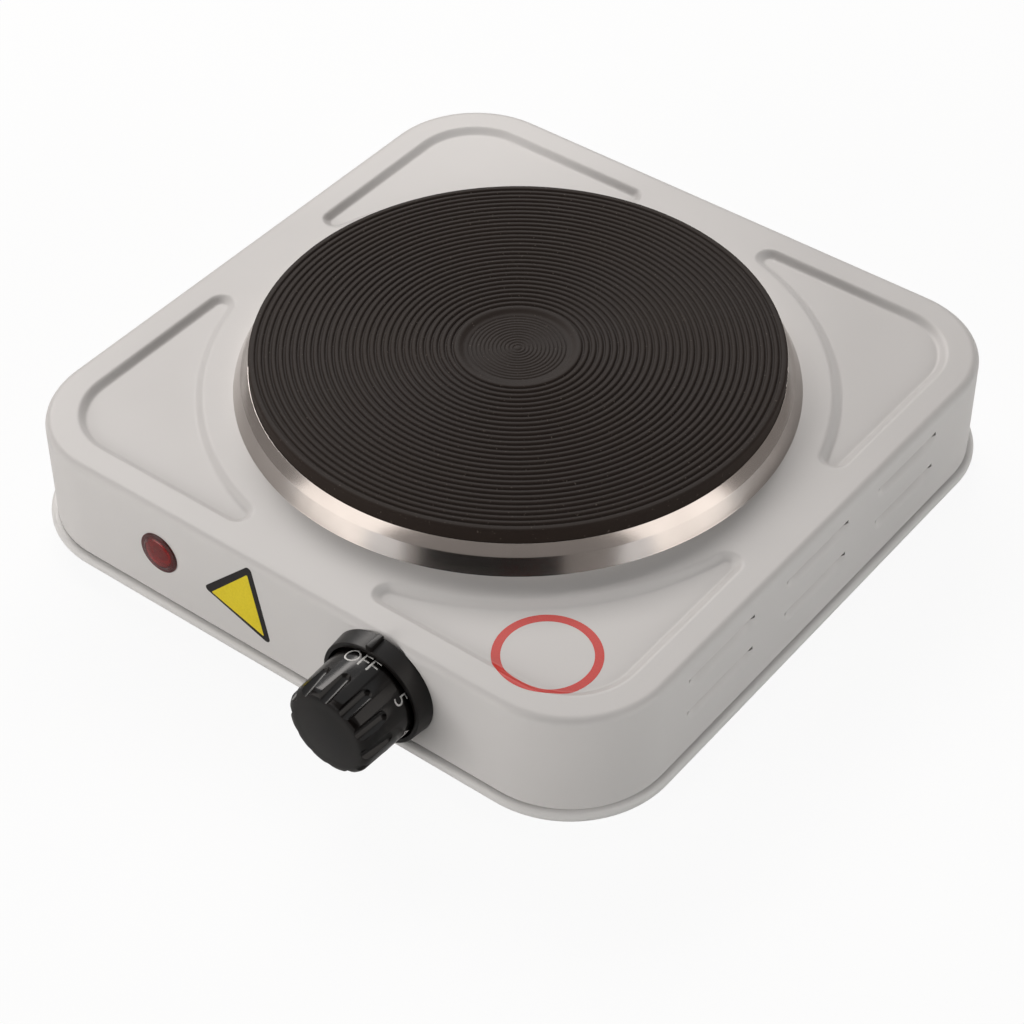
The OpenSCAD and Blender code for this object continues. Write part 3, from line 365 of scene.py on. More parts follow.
def prism(outline, low, high):
    """A new upright block with an outline."""
    count = len(outline)
    corners = [(p.x, p.y, z) for z in (low, high) for p in outline]
    sides = [(i, (i + 1) % count, count + (i + 1) % count, count + i) for i in range(count)]
    mesh = bpy.data.meshes.new("prism")
    mesh.from_pydata(corners, [], [tuple(reversed(range(count))), tuple(range(count, 2 * count))] + sides)
    piece = bpy.data.objects.new("prism", mesh)
    scene.collection.objects.link(piece)
    return piece


edge_z = top_z - edge_r
housing = block((-half, front_y, wall_low_z + seam_gap), (half, rear_y, edge_z))
edit()
pick("edges", lambda e: abs(e.verts[0].co.z - e.verts[1].co.z) > 1 * mm)
bpy.ops.mesh.bevel(offset=corner_r, segments=28, affect="EDGES")
pick("faces", lambda f: f.normal.z > 0.9)
edge_steps = 7
for i in range(edge_steps):
    lower, upper = radians(90 * i / edge_steps), radians(90 * (i + 1) / edge_steps)
    bpy.ops.mesh.inset(
        thickness=edge_r * (cos(lower) - cos(upper)), depth=edge_r * (sin(upper) - sin(lower)))
bpy.ops.mesh.inset(thickness=0.5 * mm, depth=0)
leave_edit()

# The outlines are cut 1 mm deep into the block and their walls and floors are taken out, which
# leaves an open edge in the sheet where each pad, hole or opening starts.
cut_depth = 1 * mm
support = 0.4 * mm
cutters = []
for quarter in range(4):
    pad = prism(pad_outline(support), top_z - cut_depth, top_z + cut_depth)
    pad.data.transform(Matrix.Translation((0, middle_y, 0)) @ Matrix.Rotation(quarter * pi / 2, 4, "Z"))
    cutters.append(pad)
plate_hole_r = 71.65 * mm
cutters.append(rod(plate_hole_r, (0, middle_y, top_z - cut_depth), (0, middle_y, top_z + cut_depth), 128))
for x, radius in ((knob_x, spindle_hole_r), (lamp_x, lens_hole_r)):
    cutters.append(rod(radius, (x, front_y - cut_depth, control_z), (x, front_y + cut_depth, control_z)))
cutters.append(rod(bush_hole_r, (0, rear_y - cut_depth, control_z), (0, rear_y + cut_depth, control_z)))
cut(housing, cutters)
edit()


def is_cut_face(face):
    """Whether a face is a wall or the floor of one of the shallow cuts."""
    place = middle(face)
    corner_c = half - corner_r
    out = Vector((max(abs(place.x) - corner_c, 0), max(abs(place.y - middle_y) - corner_c, 0)))
    below_top = edge_z < place.z < top_z - 0.2 * mm and out.length < corner_r - 2 * edge_r
    in_wall = abs(place.x) < corner_c and place.z < edge_z - 1 * mm
    return below_top or in_wall and 0.2 * mm < half - abs(place.y - middle_y) < 1.5 * mm


pick("faces", is_cut_face)
bpy.ops.mesh.delete(type="FACE")
pick("faces", lambda f: f.normal.z < -0.9)
bpy.ops.mesh.delete(type="FACE")


def pad_edge(edge, side_x, side_y):
    place = middle(edge)
    apart = Vector((place.x, place.y - middle_y))
    in_pad = abs(place.z - top_z) < 0.01 * mm and apart.length > plate_hole_r + 2 * mm
    return edge.is_boundary and in_pad and place.x * side_x > 0 and (place.y - middle_y) * side_y > 0


for side_x, side_y in ((1, 1), (-1, 1), (-1, -1), (1, -1)):
    pick("edges", lambda e: pad_edge(e, side_x, side_y))
    bpy.ops.mesh.edge_face_add()


def is_pad_floor(face):
    inside = all(min(abs(v.co.x), abs(v.co.y - middle_y)) > 15 * mm for v in face.verts)
    return face.normal.z > 0.9 and len(face.verts) > 60 and inside


pick("faces", is_pad_floor)
bpy.ops.mesh.inset(thickness=support, depth=0)
pad_steps = 9
for i in range(pad_steps):
    sink = pad_depth * (cos(pi * i / pad_steps) - cos(pi * (i + 1) / pad_steps)) / 2
    bpy.ops.mesh.inset(thickness=pad_slope / pad_steps, depth=-sink)
bpy.ops.mesh.inset(thickness=support, depth=0)

# Louvres: the side walls are cut into a grid, each slat's upper edge is split from the wall and
# the slat is pressed in, deepest at its upper edge and running out at both ends.
louvre_half = 15 * mm
louvre_h = 5 * mm
louvre_in = 3.2 * mm
louvre_end = 5 * mm
louvre_pitch = 45.4 * mm
louvre_back = 2 * mm
louvre_places = [middle_y - louvre_back + i * louvre_pitch for i in (-1, 0, 1)]
louvre_tops = [top_z - 6 * mm, top_z - 17.9 * mm]
rows = [-0.6] + list(range(9)) + [8.6]
columns = [-12.3] + list(range(-12, 13)) + [12.3]
levels = [z - louvre_h * i / 8 for z in louvre_tops for i in rows]
stations = [y + louvre_half * i / 12 for y in louvre_places for i in columns]


def on_side(face):
    return abs(face.normal.x) > 0.999 and abs(abs(middle(face).x) - half) < 0.01 * mm


for z in levels:
    pick("faces", on_side)
    bpy.ops.mesh.bisect(plane_co=(0, 0, z), plane_no=(0, 0, 1))
for y in stations:
    pick("faces", on_side)
    bpy.ops.mesh.bisect(plane_co=(0, y, 0), plane_no=(0, 1, 0))


def louvre_of(place):
    """Place along and up the louvre that a point on a side wall lies in, both from 0 to 1, or None."""
    for y in louvre_places:
        for z in louvre_tops:
            along, up = (place.y - y) / louvre_half, (place.z - z + louvre_h) / louvre_h
            if abs(along) < 1.0001 and -0.0001 < up < 1.0001:
                return along, up
    return None


def is_slat_edge(edge):
    place = middle(edge)
    if abs(abs(place.x) - half) > 0.01 * mm or abs(edge.verts[0].co.z - edge.verts[1].co.z) > 0.001 * mm:
        return False
    found = louvre_of(place)
    return found is not None and found[1] > 0.999


pick("edges", is_slat_edge)
bpy.ops.mesh.edge_split(type="EDGE")
shape = bmesh.from_edit_mesh(housing.data)
torn = []
for vert in shape.verts:
    found = louvre_of(vert.co) if abs(abs(vert.co.x) - half) < 0.01 * mm else None
    if found is None or max(middle(f).z for f in vert.link_faces) > vert.co.z and found[1] > 0.999:
        continue
    along, up = found
    run_out = min(1, (1 - abs(along)) * louvre_half / louvre_end)
    depth = louvre_in * sin(pi / 2 * up) ** 2 * run_out ** 2 * (3 - 2 * run_out)
    vert.co.x -= depth * (1 if vert.co.x > 0 else -1)
for face in shape.faces:
    place = middle(face)
    if abs(abs(place.x) - half) > 0.5 * mm or abs(face.normal.x) < 0.3:
        continue
    found = louvre_of(place)
    if found and abs(found[0]) > 1 - 1 / 12 and found[1] > 0.8:
        torn.append(face)
bmesh.ops.delete(shape, geom=torn, context="FACES")
bmesh.update_edit_mesh(housing.data)
bpy.ops.mesh.select_all(action="SELECT")
bpy.ops.mesh.normals_make_consistent(inside=False)
leave_edit()
modify(housing, "SOLIDIFY", thickness=sheet, offset=-1, use_even_offset=True)
smooth(housing, 40)

# Light warm grey powder coat, satin. The orange peel has waves of about 1 mm, and a slight change
# of shade breaks up the large faces.
def noise(tree, size, detail=2, roughness=0.5):
    """A noise pattern with waves of a size in metres, in the object's own coordinates."""
    place = node(tree, "TexCoord")
    return node(tree, "TexNoise", {"Scale": 1 / size, "Detail": detail, "Roughness": roughness},
        {"Vector": place.outputs["Object"]})


def ramp(tree, value, low, high, start=0.35, end=0.65):
    """A colour ramp between two hex colours."""
    made = node(tree, "ValToRGB", links={"Fac": value})
    made.color_ramp.elements[0].position = start
    made.color_ramp.elements[0].color = linear(low)
    made.color_ramp.elements[1].position = end
    made.color_ramp.elements[1].color = linear(high)
    return made.outputs["Color"]


def between(tree, value, low, high):
    """A value mapped from 0..1 to a range."""
    return node(tree, "MapRange", {"To Min": low, "To Max": high}, {"Value": value}).outputs["Result"]


def bumped(tree, height, depth, strength=1):
    """A normal from a height pattern of a depth in metres."""
    return node(tree, "Bump", {"Strength": strength, "Distance": depth}, {"Height": height}).outputs["Normal"]


def surface(tree, values, links=None):
    """The material's surface shader, wired to the output."""
    shader = node(tree, "BsdfPrincipled", values, links)
    node(tree, "OutputMaterial", links={"Surface": shader.outputs[0]})
    return shader


def powder_paint(name, dark, light):
    made = new_material(name)
    tree = made.node_tree
    cloud = noise(tree, 70 * mm, 3)
    grit = noise(tree, 0.35 * mm, 1)
    peel = noise(tree, 1.1 * mm, 2)
    surface(tree, {"IOR": 1.5}, {
        "Base Color": ramp(tree, cloud.outputs["Fac"], dark, light),
        "Roughness": between(tree, grit.outputs["Fac"], 0.36, 0.46),
        "Normal": bumped(tree, peel.outputs["Fac"], 0.012 * mm)})
    return made


powder_coat = powder_paint("light grey powder coat", "#cecccb", "#d3d1d0")
hand_in(housing, "pressed_housing", powder_coat, "housing", "housing_powder_coat", "housing_shell")


# ---- Base tray ----
# The lid that closes the housing from below: painted sheet with a rolled rim that stands 2 mm out
# all round, an upstand just inside the housing's wall, and a ring of vent slots in its floor.
tray_low, tray_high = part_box("base_tray")
rim_half = tray_high.x
floor_z = tray_low.z + sheet
upstand_half = half - sheet - 0.1 * mm
rim_round = 1.35 * mm
tray = block((-rim_half, middle_y - rim_half, tray_low.z), (rim_half, middle_y + rim_half, wall_low_z))


def is_upright(edge):
    return abs(edge.verts[0].co.z - edge.verts[1].co.z) > 1 * mm


def extrude(rise):
    """Extrudes the selected faces upwards, or downwards with a negative rise."""
    bpy.ops.mesh.extrude_region_move(TRANSFORM_OT_translate={"value": (0, 0, rise)})


edit()
pick("edges", is_upright)
bpy.ops.mesh.bevel(offset=corner_r + rim_half - half, segments=28, affect="EDGES")
pick("edges", lambda e: not is_upright(e))
bpy.ops.mesh.bevel(offset=rim_round, segments=6, affect="EDGES")
pick("faces", lambda f: f.normal.z > 0.999)
bpy.ops.mesh.inset(thickness=rim_half - rim_round - upstand_half, depth=0)
extrude(tray_high.z - wall_low_z)
bpy.ops.mesh.inset(thickness=sheet, depth=0)
extrude(floor_z - tray_high.z)
leave_edit()


def turned_copy(piece, turn, centre):
    """A copy of a piece turned about an upright line through a centre, by a part of a turn."""
    copy = piece.copy()
    copy.data = piece.data.copy()
    scene.collection.objects.link(copy)
    copy.data.transform(Matrix.Translation(centre) @ Matrix.Rotation(2 * pi * turn, 4, "Z"))
    return copy


vent_r = 1.5 * mm
vent_start, vent_end = 24 * mm, 46 * mm
vent_outline = (
    arc(Vector((vent_end - vent_r, 0)), vent_r, -90, 90, 12)
    + arc(Vector((vent_start + vent_r, 0)), vent_r, 90, 270, 12))
vent = prism(vent_outline, tray_low.z - 1 * mm, floor_z + 1 * mm)
middle_line = Vector((0, middle_y, 0))
vents = [turned_copy(vent, (i + 0.5) / 12, middle_line) for i in range(12)]
bpy.data.objects.remove(vent)
foot_low, foot_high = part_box("rubber_feet")
foot_r = 8 * mm
m4_hole_r, m3_hole_r = 2.1 * mm, 1.6 * mm
fixing_head_r = 2.4 * mm
foot_places = [(x, y) for x in (foot_low.x + foot_r, foot_high.x - foot_r)
    for y in (foot_low.y + foot_r, foot_high.y - foot_r)]
earth_low, earth_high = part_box("earth_screw")
fixing_low, fixing_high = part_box("block_screws")
fixing_y = (fixing_low.y + fixing_high.y) / 2
drilled = [(x, y, m4_hole_r) for x, y in foot_places]
drilled += [(x, fixing_y, m3_hole_r) for x in (fixing_low.x + fixing_head_r, fixing_high.x - fixing_head_r)]
drilled.append(((earth_low.x + earth_high.x) / 2, (earth_low.y + earth_high.y) / 2, m4_hole_r))
holes = [rod(r, (x, y, tray_low.z - 1 * mm), (x, y, floor_z + 1 * mm), 32) for x, y, r in drilled]
cut(tray, vents + holes)
smooth(tray, 40)
tray_paint = powder_paint("light grey tray paint", "#d8d7d6", "#dddcdb")
hand_in(tray, "base_tray_sheet", tray_paint, "housing", "tray_sheet", "base_tray")


# ---- Rubber feet ----
# Four turned rubber buttons. Each has a deep recess from below for the head of its screw, so
# that only rubber touches the table.
def rounded(corners, closed=False):
    """A profile through corners of (radius, height, rounding in mm), with each corner rounded off."""
    points = []
    for i, (x, y, rounding) in enumerate(corners):
        here = Vector((x, y))
        if not rounding or not closed and i in (0, len(corners) - 1):
            points.append(here)
            continue
        back = (Vector(corners[i - 1][:2]) - here).normalized()
        ahead = (Vector(corners[(i + 1) % len(corners)][:2]) - here).normalized()
        opening = back.angle(ahead)
        radius = rounding * mm
        centre = here + (back + ahead).normalized() * radius / sin(opening / 2)
        start = here + back * radius / tan(opening / 2) - centre
        end = here + ahead * radius / tan(opening / 2) - centre
        turn = start.angle_signed(end)
        steps = max(2, ceil(abs(turn) / radians(18)))
        for j in range(steps + 1):
            a = -turn * j / steps
            points.append(centre + Vector((
                start.x * cos(a) - start.y * sin(a), start.x * sin(a) + start.y * cos(a))))
    return points


def turned(profile, steps=128, closed=False):
    """A new piece turned on a lathe about Z from a profile of (radius, height)."""
    count = len(profile)
    edges = [(i, i + 1) for i in range(count - 1)] + ([(count - 1, 0)] if closed else [])
    mesh = bpy.data.meshes.new("turned")
    mesh.from_pydata([(p[0], 0, p[1]) for p in profile], edges, [])
    piece = bpy.data.objects.new("turned", mesh)
    scene.collection.objects.link(piece)
    nothing_selected()
    piece.select_set(True)
    bpy.context.view_layer.objects.active = piece
    edit()
    bpy.ops.mesh.select_all(action="SELECT")
    bpy.ops.mesh.spin(steps=steps, angle=2 * pi, center=(0, 0, 0), axis=(0, 0, 1))
    bpy.ops.mesh.select_all(action="SELECT")
    bpy.ops.mesh.remove_doubles(threshold=0.0005 * mm)
    bpy.ops.mesh.normals_make_consistent(inside=False)
    leave_edit()
    return piece


def put(piece, place, turn=None):
    """Moves a piece's mesh to a place, after an optional turn."""
    piece.data.transform(Matrix.Translation(place) @ (turn or Matrix.Identity(4)))
    return piece


foot_top = foot_high.z
foot_web = 1.6 * mm
foot_recess_r = 4 * mm
foot_profile = rounded([
    (m4_hole_r, foot_top - foot_web, 0), (m4_hole_r, foot_top, 0), (foot_r - 1 * mm, foot_top, 0.3),
    (foot_r, 0.6 * mm, 0.4), (foot_r - 0.6 * mm, 0, 0.3), (4.3 * mm, 0, 0.3),
    (foot_recess_r, 0.6 * mm, 0.3), (foot_recess_r, foot_top - foot_web, 0.3)], closed=True)
feet = join([put(turned(foot_profile, 48, closed=True), (x, y, 0)) for x, y in foot_places])
smooth(feet, 50)
rubber = new_material("black rubber")
tree = rubber.node_tree
dust = noise(tree, 3 * mm, 4, 0.6)
grain = noise(tree, 0.3 * mm, 2)
surface(tree, {"IOR": 1.52}, {
    "Base Color": ramp(tree, dust.outputs["Fac"], "#1b1a19", "#262423"),
    "Roughness": between(tree, grain.outputs["Fac"], 0.66, 0.8),
    "Normal": bumped(tree, grain.outputs["Fac"], 0.02 * mm)})
hand_in(feet, "rubber_foot_buttons", rubber, "housing", "feet_rubber", "rubber_feet")


# ---- Foot screws ----
# Pan head screws with a cross recess, zinc plated, up through the feet and the tray into the
# tapped corner brackets inside.
screw_low, screw_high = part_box("foot_screws")
head_low = screw_low.z
head_high = foot_top - foot_web
head_r, shank_r = 3.6 * mm, 2 * mm
cross_long, cross_wide, cross_deep = 2.1 * mm, 0.4 * mm, 1 * mm
screw_profile = rounded([
    (0, head_low, 0), (3.4 * mm, head_low + 0.15 * mm, 1.2), (head_r, head_high, 0),
    (shank_r, head_high, 0), (shank_r, screw_high.z, 0.3), (0, screw_high.z, 0)])
screws = []
for x, y in foot_places:
    screw = put(turned(screw_profile, 40), (x, y, 0))
    for along, across in ((cross_long, cross_wide), (cross_wide, cross_long)):
        recess = block(
            (x - along, y - across, head_low - cross_deep), (x + along, y + across, head_low + cross_deep))
        cut(screw, [recess])
    screws.append(screw)
foot_screws = join(screws)
smooth(foot_screws, 35)
zinc = new_material("bright zinc plating")
tree = zinc.node_tree
spangle = noise(tree, 2 * mm, 3)
surface(tree, {"Metallic": 1, "IOR": 1.5}, {
    "Base Color": ramp(tree, spangle.outputs["Fac"], "#b9bcc0", "#cfd0d0"),
    "Roughness": between(tree, spangle.outputs["Fac"], 0.24, 0.38)})
hand_in(foot_screws, "foot_fixing_screws", zinc, "housing", "zinc_steel", "foot_screws")


# ---- Cast plate ----
# Cast iron, face turned with a set of round-bottomed grooves and a finely ringed sunk middle, then
# coated with black heat-proof lacquer. Its skirt and ribs hold the heating coil from below.
plate_low, plate_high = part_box("hotplate_casting")
plate_r = plate_high.x
face_z = plate_high.z
skirt_z = plate_low.z
step_z = face_z - 9 * mm
web_z = face_z - 7 * mm
fill_z = skirt_z + 2 * mm
skirt_r = plate_r - 5 * mm
cavity_r = skirt_r - 4 * mm
boss_r, bore_r = 10 * mm, 3.05 * mm
rib = 3 * mm
inner_rib_r = 30 * mm
outer_rib_r = (inner_rib_r + rib + cavity_r) / 2
hub_r, hub_floor_r, hub_sink = 17.1 * mm, 14.8 * mm, 0.8 * mm
groove_from, groove_pitch, groove_depth, grooves = 17.4 * mm, 1.965 * mm, 0.5 * mm, 29
fine_pitch, fine_depth, fine_rings = 1.15 * mm, 0.2 * mm, 12

face_line = [Vector((0, face_z - hub_sink))]
for i in range(1, fine_rings * 6):
    r = i * fine_pitch / 6 + fine_pitch / 2
    face_line.append(Vector((r, face_z - hub_sink - fine_depth * sin(pi * i / 6) ** 4)))
for i in range(7):
    t = i / 6
    r = hub_floor_r + (hub_r - hub_floor_r) * t
    face_line.append(Vector((r, face_z - hub_sink * cos(pi / 2 * t) ** 2)))
groove_shape = [(0.1, 0), (0.2, 0.08), (0.27, 0.3), (0.33, 0.7), (0.4, 0.93), (0.5, 1),
    (0.6, 0.93), (0.67, 0.7), (0.73, 0.3), (0.8, 0.08), (0.9, 0)]
for i in range(grooves):
    for along, deep in groove_shape:
        face_line.append(Vector((groove_from + (i + along) * groove_pitch, face_z - deep * groove_depth)))
plate_profile = face_line + rounded([
    (plate_r - 1.2 * mm, face_z, 0), (plate_r, face_z, 0.75), (plate_r, step_z, 0.3),
    (skirt_r, step_z, 0.4), (skirt_r, skirt_z, 0.4), (cavity_r, skirt_z, 0.4), (cavity_r, web_z, 0),
    (outer_rib_r + rib, web_z, 0), (outer_rib_r + rib, fill_z, 0), (outer_rib_r, fill_z, 0),
    (outer_rib_r, web_z, 0), (inner_rib_r + rib, web_z, 0), (inner_rib_r + rib, fill_z, 0),
    (inner_rib_r, fill_z, 0), (inner_rib_r, web_z, 0), (boss_r, web_z, 0), (boss_r, fill_z, 0.3),
    (bore_r, fill_z, 0.2), (bore_r, web_z, 0), (0, web_z, 0)])
plate_steps = 216
plate = put(turned(plate_profile, plate_steps), middle_line)
smooth(plate, 50)

# Black lacquer gone a little brown with heat. It is duller in patches, with a fine light speckle
# of bare crests and dust on the lands, and a grain as cast.
lacquer = new_material("black stove lacquer on cast iron")
tree = lacquer.node_tree
patches = noise(tree, 38 * mm, 4, 0.6)
grain = noise(tree, 0.5 * mm, 3, 0.6)
specks = noise(tree, 0.9 * mm, 2, 0.7)
spots = node(tree, "ValToRGB", links={"Fac": specks.outputs["Fac"]})
spots.color_ramp.elements[0].position = 0.68
spots.color_ramp.elements[1].position = 0.74
body_colour = ramp(tree, patches.outputs["Fac"], "#251e1b", "#2b2420", 0.3, 0.7)
speckled = node(tree, "Mix", {"B": linear("#5d554f")}, {"A": body_colour, "Factor": spots.outputs["Color"]},
    data_type="RGBA")
surface(tree, {"IOR": 1.5, "Specular IOR Level": 0.14}, {
    "Base Color": speckled.outputs[2],
    "Roughness": between(tree, patches.outputs["Fac"], 0.56, 0.68),
    "Normal": bumped(tree, grain.outputs["Fac"], 0.03 * mm)})
hand_in(plate, "grooved_cast_plate", lacquer, "housing", "cast_plate", "hotplate_casting")


# ---- Trim ring ----
# Stainless sheet spun round the plate's rim: a tight inner wall and two slopes that meet in a
# crease. The lower slope is the steeper one and runs out on the housing.
ring_bore = plate_r + 0.1 * mm
ring_top = ring_high.z
ring_foot = ring_high.x
ring_t = 0.6 * mm
hem = 0.5 * mm
crease_r = plate_r + 2.64 * mm
crease_z = top_z + 4.73 * mm
foot_edge = ring_foot - hem
lip_r = skirt_r + 0.4 * mm
ring_profile = rounded([
    (lip_r, step_z, 0), (ring_bore, step_z, 0), (ring_bore, ring_top, 0.1), (crease_r, crease_z, 0.9),
    (ring_foot - 0.12 * mm, top_z + 0.22 * mm, 0.08), (ring_foot, top_z, 0),
    (foot_edge - ring_t, top_z, 0), (crease_r - ring_t, crease_z - 0.3 * mm, 0.4),
    (ring_bore + ring_t, ring_top - 0.8 * mm, 0.2), (ring_bore + ring_t, step_z - ring_t, 0.3),
    (lip_r, step_z - ring_t, 0)], closed=True)
trim = put(turned(ring_profile, 256, closed=True), middle_line)
smooth(trim, 35)

# Turned 18/10 stainless. Fine lines run round it, so a reflection stays narrow along the ring and
# is drawn out across it, and slow waves left by the spinning bend it a little.
stainless = new_material("satin turned stainless steel")
tree = stainless.node_tree
place = node(tree, "TexCoord")
apart = node(tree, "VectorMath", {1: (0, middle_y, 0)}, {0: place.outputs["Object"]}, operation="SUBTRACT")
axes = node(tree, "SeparateXYZ", links={0: apart.outputs[0]})
squares = node(tree, "Math", {}, {0: axes.outputs["X"], 1: axes.outputs["X"]}, operation="MULTIPLY")
both = node(tree, "Math", {}, {0: axes.outputs["Y"], 1: axes.outputs["Y"], 2: squares.outputs[0]},
    operation="MULTIPLY_ADD")
distance = node(tree, "Math", links={0: both.outputs[0]}, operation="SQRT")
lines = node(tree, "CombineXYZ", links={"X": distance.outputs[0], "Y": axes.outputs["Z"]})
line_width = 0.12 * mm
turning = node(tree, "TexNoise", {"Scale": 1 / line_width, "Detail": 3}, {"Vector": lines.outputs[0]})
tint = noise(tree, 25 * mm, 3)
waves = noise(tree, 14 * mm, 2)
wave_height = 25
height = node(tree, "Math", {1: wave_height}, {0: waves.outputs["Fac"], 2: turning.outputs["Fac"]},
    operation="MULTIPLY_ADD")
surface(tree, {"Metallic": 1, "Anisotropic": 0.4, "Anisotropic Rotation": 0.25}, {
    "Base Color": ramp(tree, tint.outputs["Fac"], "#c0bab6", "#ccc6c2"),
    "Roughness": between(tree, turning.outputs["Fac"], 0.16, 0.25),
    "Normal": bumped(tree, height.outputs[0], 0.002 * mm)})
hand_in(trim, "spun_trim_ring", stainless, "housing", "trim_stainless", "trim_ring")


# ---- Knob bezel ----
# Fixed black phenolic collar on the front wall. The knob turns inside it, and the rib across its
# top is the mark that the settings are read against.
on_knob = Matrix.Rotation(pi / 2, 4, "X")
knob_axis = Vector((knob_x, front_y, control_z))
bezel_depth = front_y - bezel_low.y
bezel_r = bezel_high.x - knob_x
bezel_front_r = bezel_r - 0.5 * mm
bezel_wall, bezel_floor = 1.4 * mm, 1.2 * mm
bezel_profile = rounded([
    (spindle_hole_r, 0, 0), (bezel_r, 0, 0), (bezel_front_r, bezel_depth, 0.45),
    (bezel_front_r - bezel_wall, bezel_depth, 0.3), (bezel_front_r - bezel_wall, bezel_floor, 0.3),
    (spindle_hole_r, bezel_floor, 0)], closed=True)
bezel = turned(bezel_profile, 160, closed=True)
rib_half = 0.9 * mm
rib_high = bezel_high.z - control_z
mark = block(
    (-rib_half, bezel_front_r - 1 * mm, 0.02 * mm), (rib_half, rib_high, bezel_depth - 0.05 * mm))
modify(mark, "BEVEL", width=0.3 * mm, segments=3)
cut(bezel, [mark], "UNION")
bezel_screw_x = 8.8 * mm
for x in (-bezel_screw_x, bezel_screw_x):
    cut(bezel, [rod(shank_r, (x, 0, -1 * mm), (x, 0, bezel_floor + 1 * mm), 32)])
put(bezel, knob_axis, on_knob)
smooth(bezel, 35)


def black_moulding(name, colour, low, high):
    """Black moulded plastic with a faint mould texture."""
    made = new_material(name)
    tree = made.node_tree
    wear = noise(tree, 6 * mm, 3)
    flow = noise(tree, 0.25 * mm, 2)
    surface(tree, {"IOR": 1.55, "Specular IOR Level": 0.22}, {
        "Base Color": ramp(tree, wear.outputs["Fac"], colour, "#110e0d"),
        "Roughness": between(tree, wear.outputs["Fac"], low, high),
        "Normal": bumped(tree, flow.outputs["Fac"], 0.003 * mm)})
    return made


bezel_black = black_moulding("satin black phenolic", "#0d0c0c", 0.30, 0.42)
hand_in(bezel, "knob_collar", bezel_black, "housing", "bezel_moulding", "knob_bezel")


# ---- Knob ----
# Hollow black phenolic moulding with a slightly domed face and twelve finger grooves that lean in
# towards the front and notch the face. It is pushed on the flatted spindle.
knob_low, knob_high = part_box("knob")
knob_reach = front_y - knob_low.y
knob_back = front_y - knob_high.y
knob_r = (knob_high.x - knob_low.x) / 2
knob_taper = 0.5 * mm
knob_front_r = knob_r - knob_taper
dome = 0.5 * mm
skirt_inner_r, skirt_top = knob_r - 1.6 * mm, 11.8 * mm
pocket_r, pocket_top = 10.2 * mm, knob_reach - 3 * mm
knob_hub_r, knob_hub_z = 5 * mm, 4 * mm
spindle_r, spindle_top = 3.05 * mm, 16.5 * mm
domed_face = [(knob_front_r * i / 14, knob_reach - dome * (i / 11) ** 2, 0) for i in range(11)]
knob_profile = rounded(domed_face + [
    (knob_front_r, knob_reach - dome, 2.6), (knob_r, knob_back, 0.3), (skirt_inner_r, knob_back, 0),
    (skirt_inner_r, skirt_top, 0), (pocket_r, skirt_top, 0), (pocket_r, pocket_top, 0),
    (knob_hub_r, pocket_top, 0), (knob_hub_r, knob_hub_z, 0), (spindle_r, knob_hub_z, 0),
    (spindle_r, spindle_top, 0), (0, spindle_top, 0)])
knob = turned(knob_profile, 200)
flutes, flute_lean = 12, radians(8)
flute_r, flute_off, flute_back = 2.2 * mm, knob_r + 0.9 * mm, 15 * mm
flute_top = knob_reach + 2 * mm
flute_profile = arc(Vector((0, flute_back)), flute_r, -90, 0, 12) + [
    Vector((flute_r, flute_top)), Vector((0, flute_top))]
leaned = Matrix.Translation((0, 0, flute_back)) @ Matrix.Rotation(-flute_lean, 4, "Y")
flute = put(
    turned(flute_profile, 48), (flute_off, 0, 0), leaned @ Matrix.Translation((0, 0, -flute_back)))
cut(knob, [turned_copy(flute, i / flutes, Vector()) for i in range(flutes)])
bpy.data.objects.remove(flute)
modify(knob, "BEVEL", width=0.35 * mm, segments=3, limit_method="ANGLE", angle_limit=radians(40))
put(knob, knob_axis, on_knob)
smooth(knob, 35)
knob_black = black_moulding("glossy black phenolic", "#080707", 0.14, 0.24)
hand_in(knob, "thermostat_knob", knob_black, "knob", "knob_moulding", "knob")


# ---- Settings printed on the knob ----
# OFF and the five heat settings in thin white pad print round the knob's skirt, with the tops of
# the letters towards the housing. Turning the knob clockwise brings 1 to 5 to the mark.
letter_size, letter_spacing, letter_thinning = 6.2 * mm, 0.88, -0.06 * mm
print_middle = 7.5 * mm
print_spread = 1.12
print_thickness, print_sunk = 0.12 * mm, 0.09 * mm
strip = 0.35 * mm


def printed(label, turn):
    """A label wrapped on the knob's skirt, at an angle clockwise from the top in degrees."""
    nothing_selected()
    bpy.ops.object.text_add()
    text = bpy.context.object
    text.data.body = label
    text.data.size = letter_size
    text.data.space_character = letter_spacing
    text.data.offset = letter_thinning
    text.data.align_x = "CENTER"
    text.data.align_y = "CENTER"
    text.data.resolution_u = 6
    bpy.ops.object.convert(target="MESH")
    edit()
    for i in range(-16, 17):
        bpy.ops.mesh.select_all(action="SELECT")
        bpy.ops.mesh.bisect(plane_co=(i * strip, 0, 0), plane_no=(1, 0, 0))
    bpy.ops.mesh.select_all(action="SELECT")
    extrude(print_thickness)
    bpy.ops.mesh.select_all(action="SELECT")
    bpy.ops.mesh.normals_make_consistent(inside=False)
    leave_edit()
    skirt = knob_r - knob_taper * (print_middle - knob_back) / (knob_reach - knob_back)
    for vert in text.data.vertices:
        angle = print_spread * vert.co.x / skirt + radians(turn)
        slope = knob_taper * vert.co.y / (knob_reach - knob_back)
        radius = skirt + slope + vert.co.z - print_sunk
        vert.co = (radius * sin(angle), radius * cos(angle), print_middle - vert.co.y)
    return text


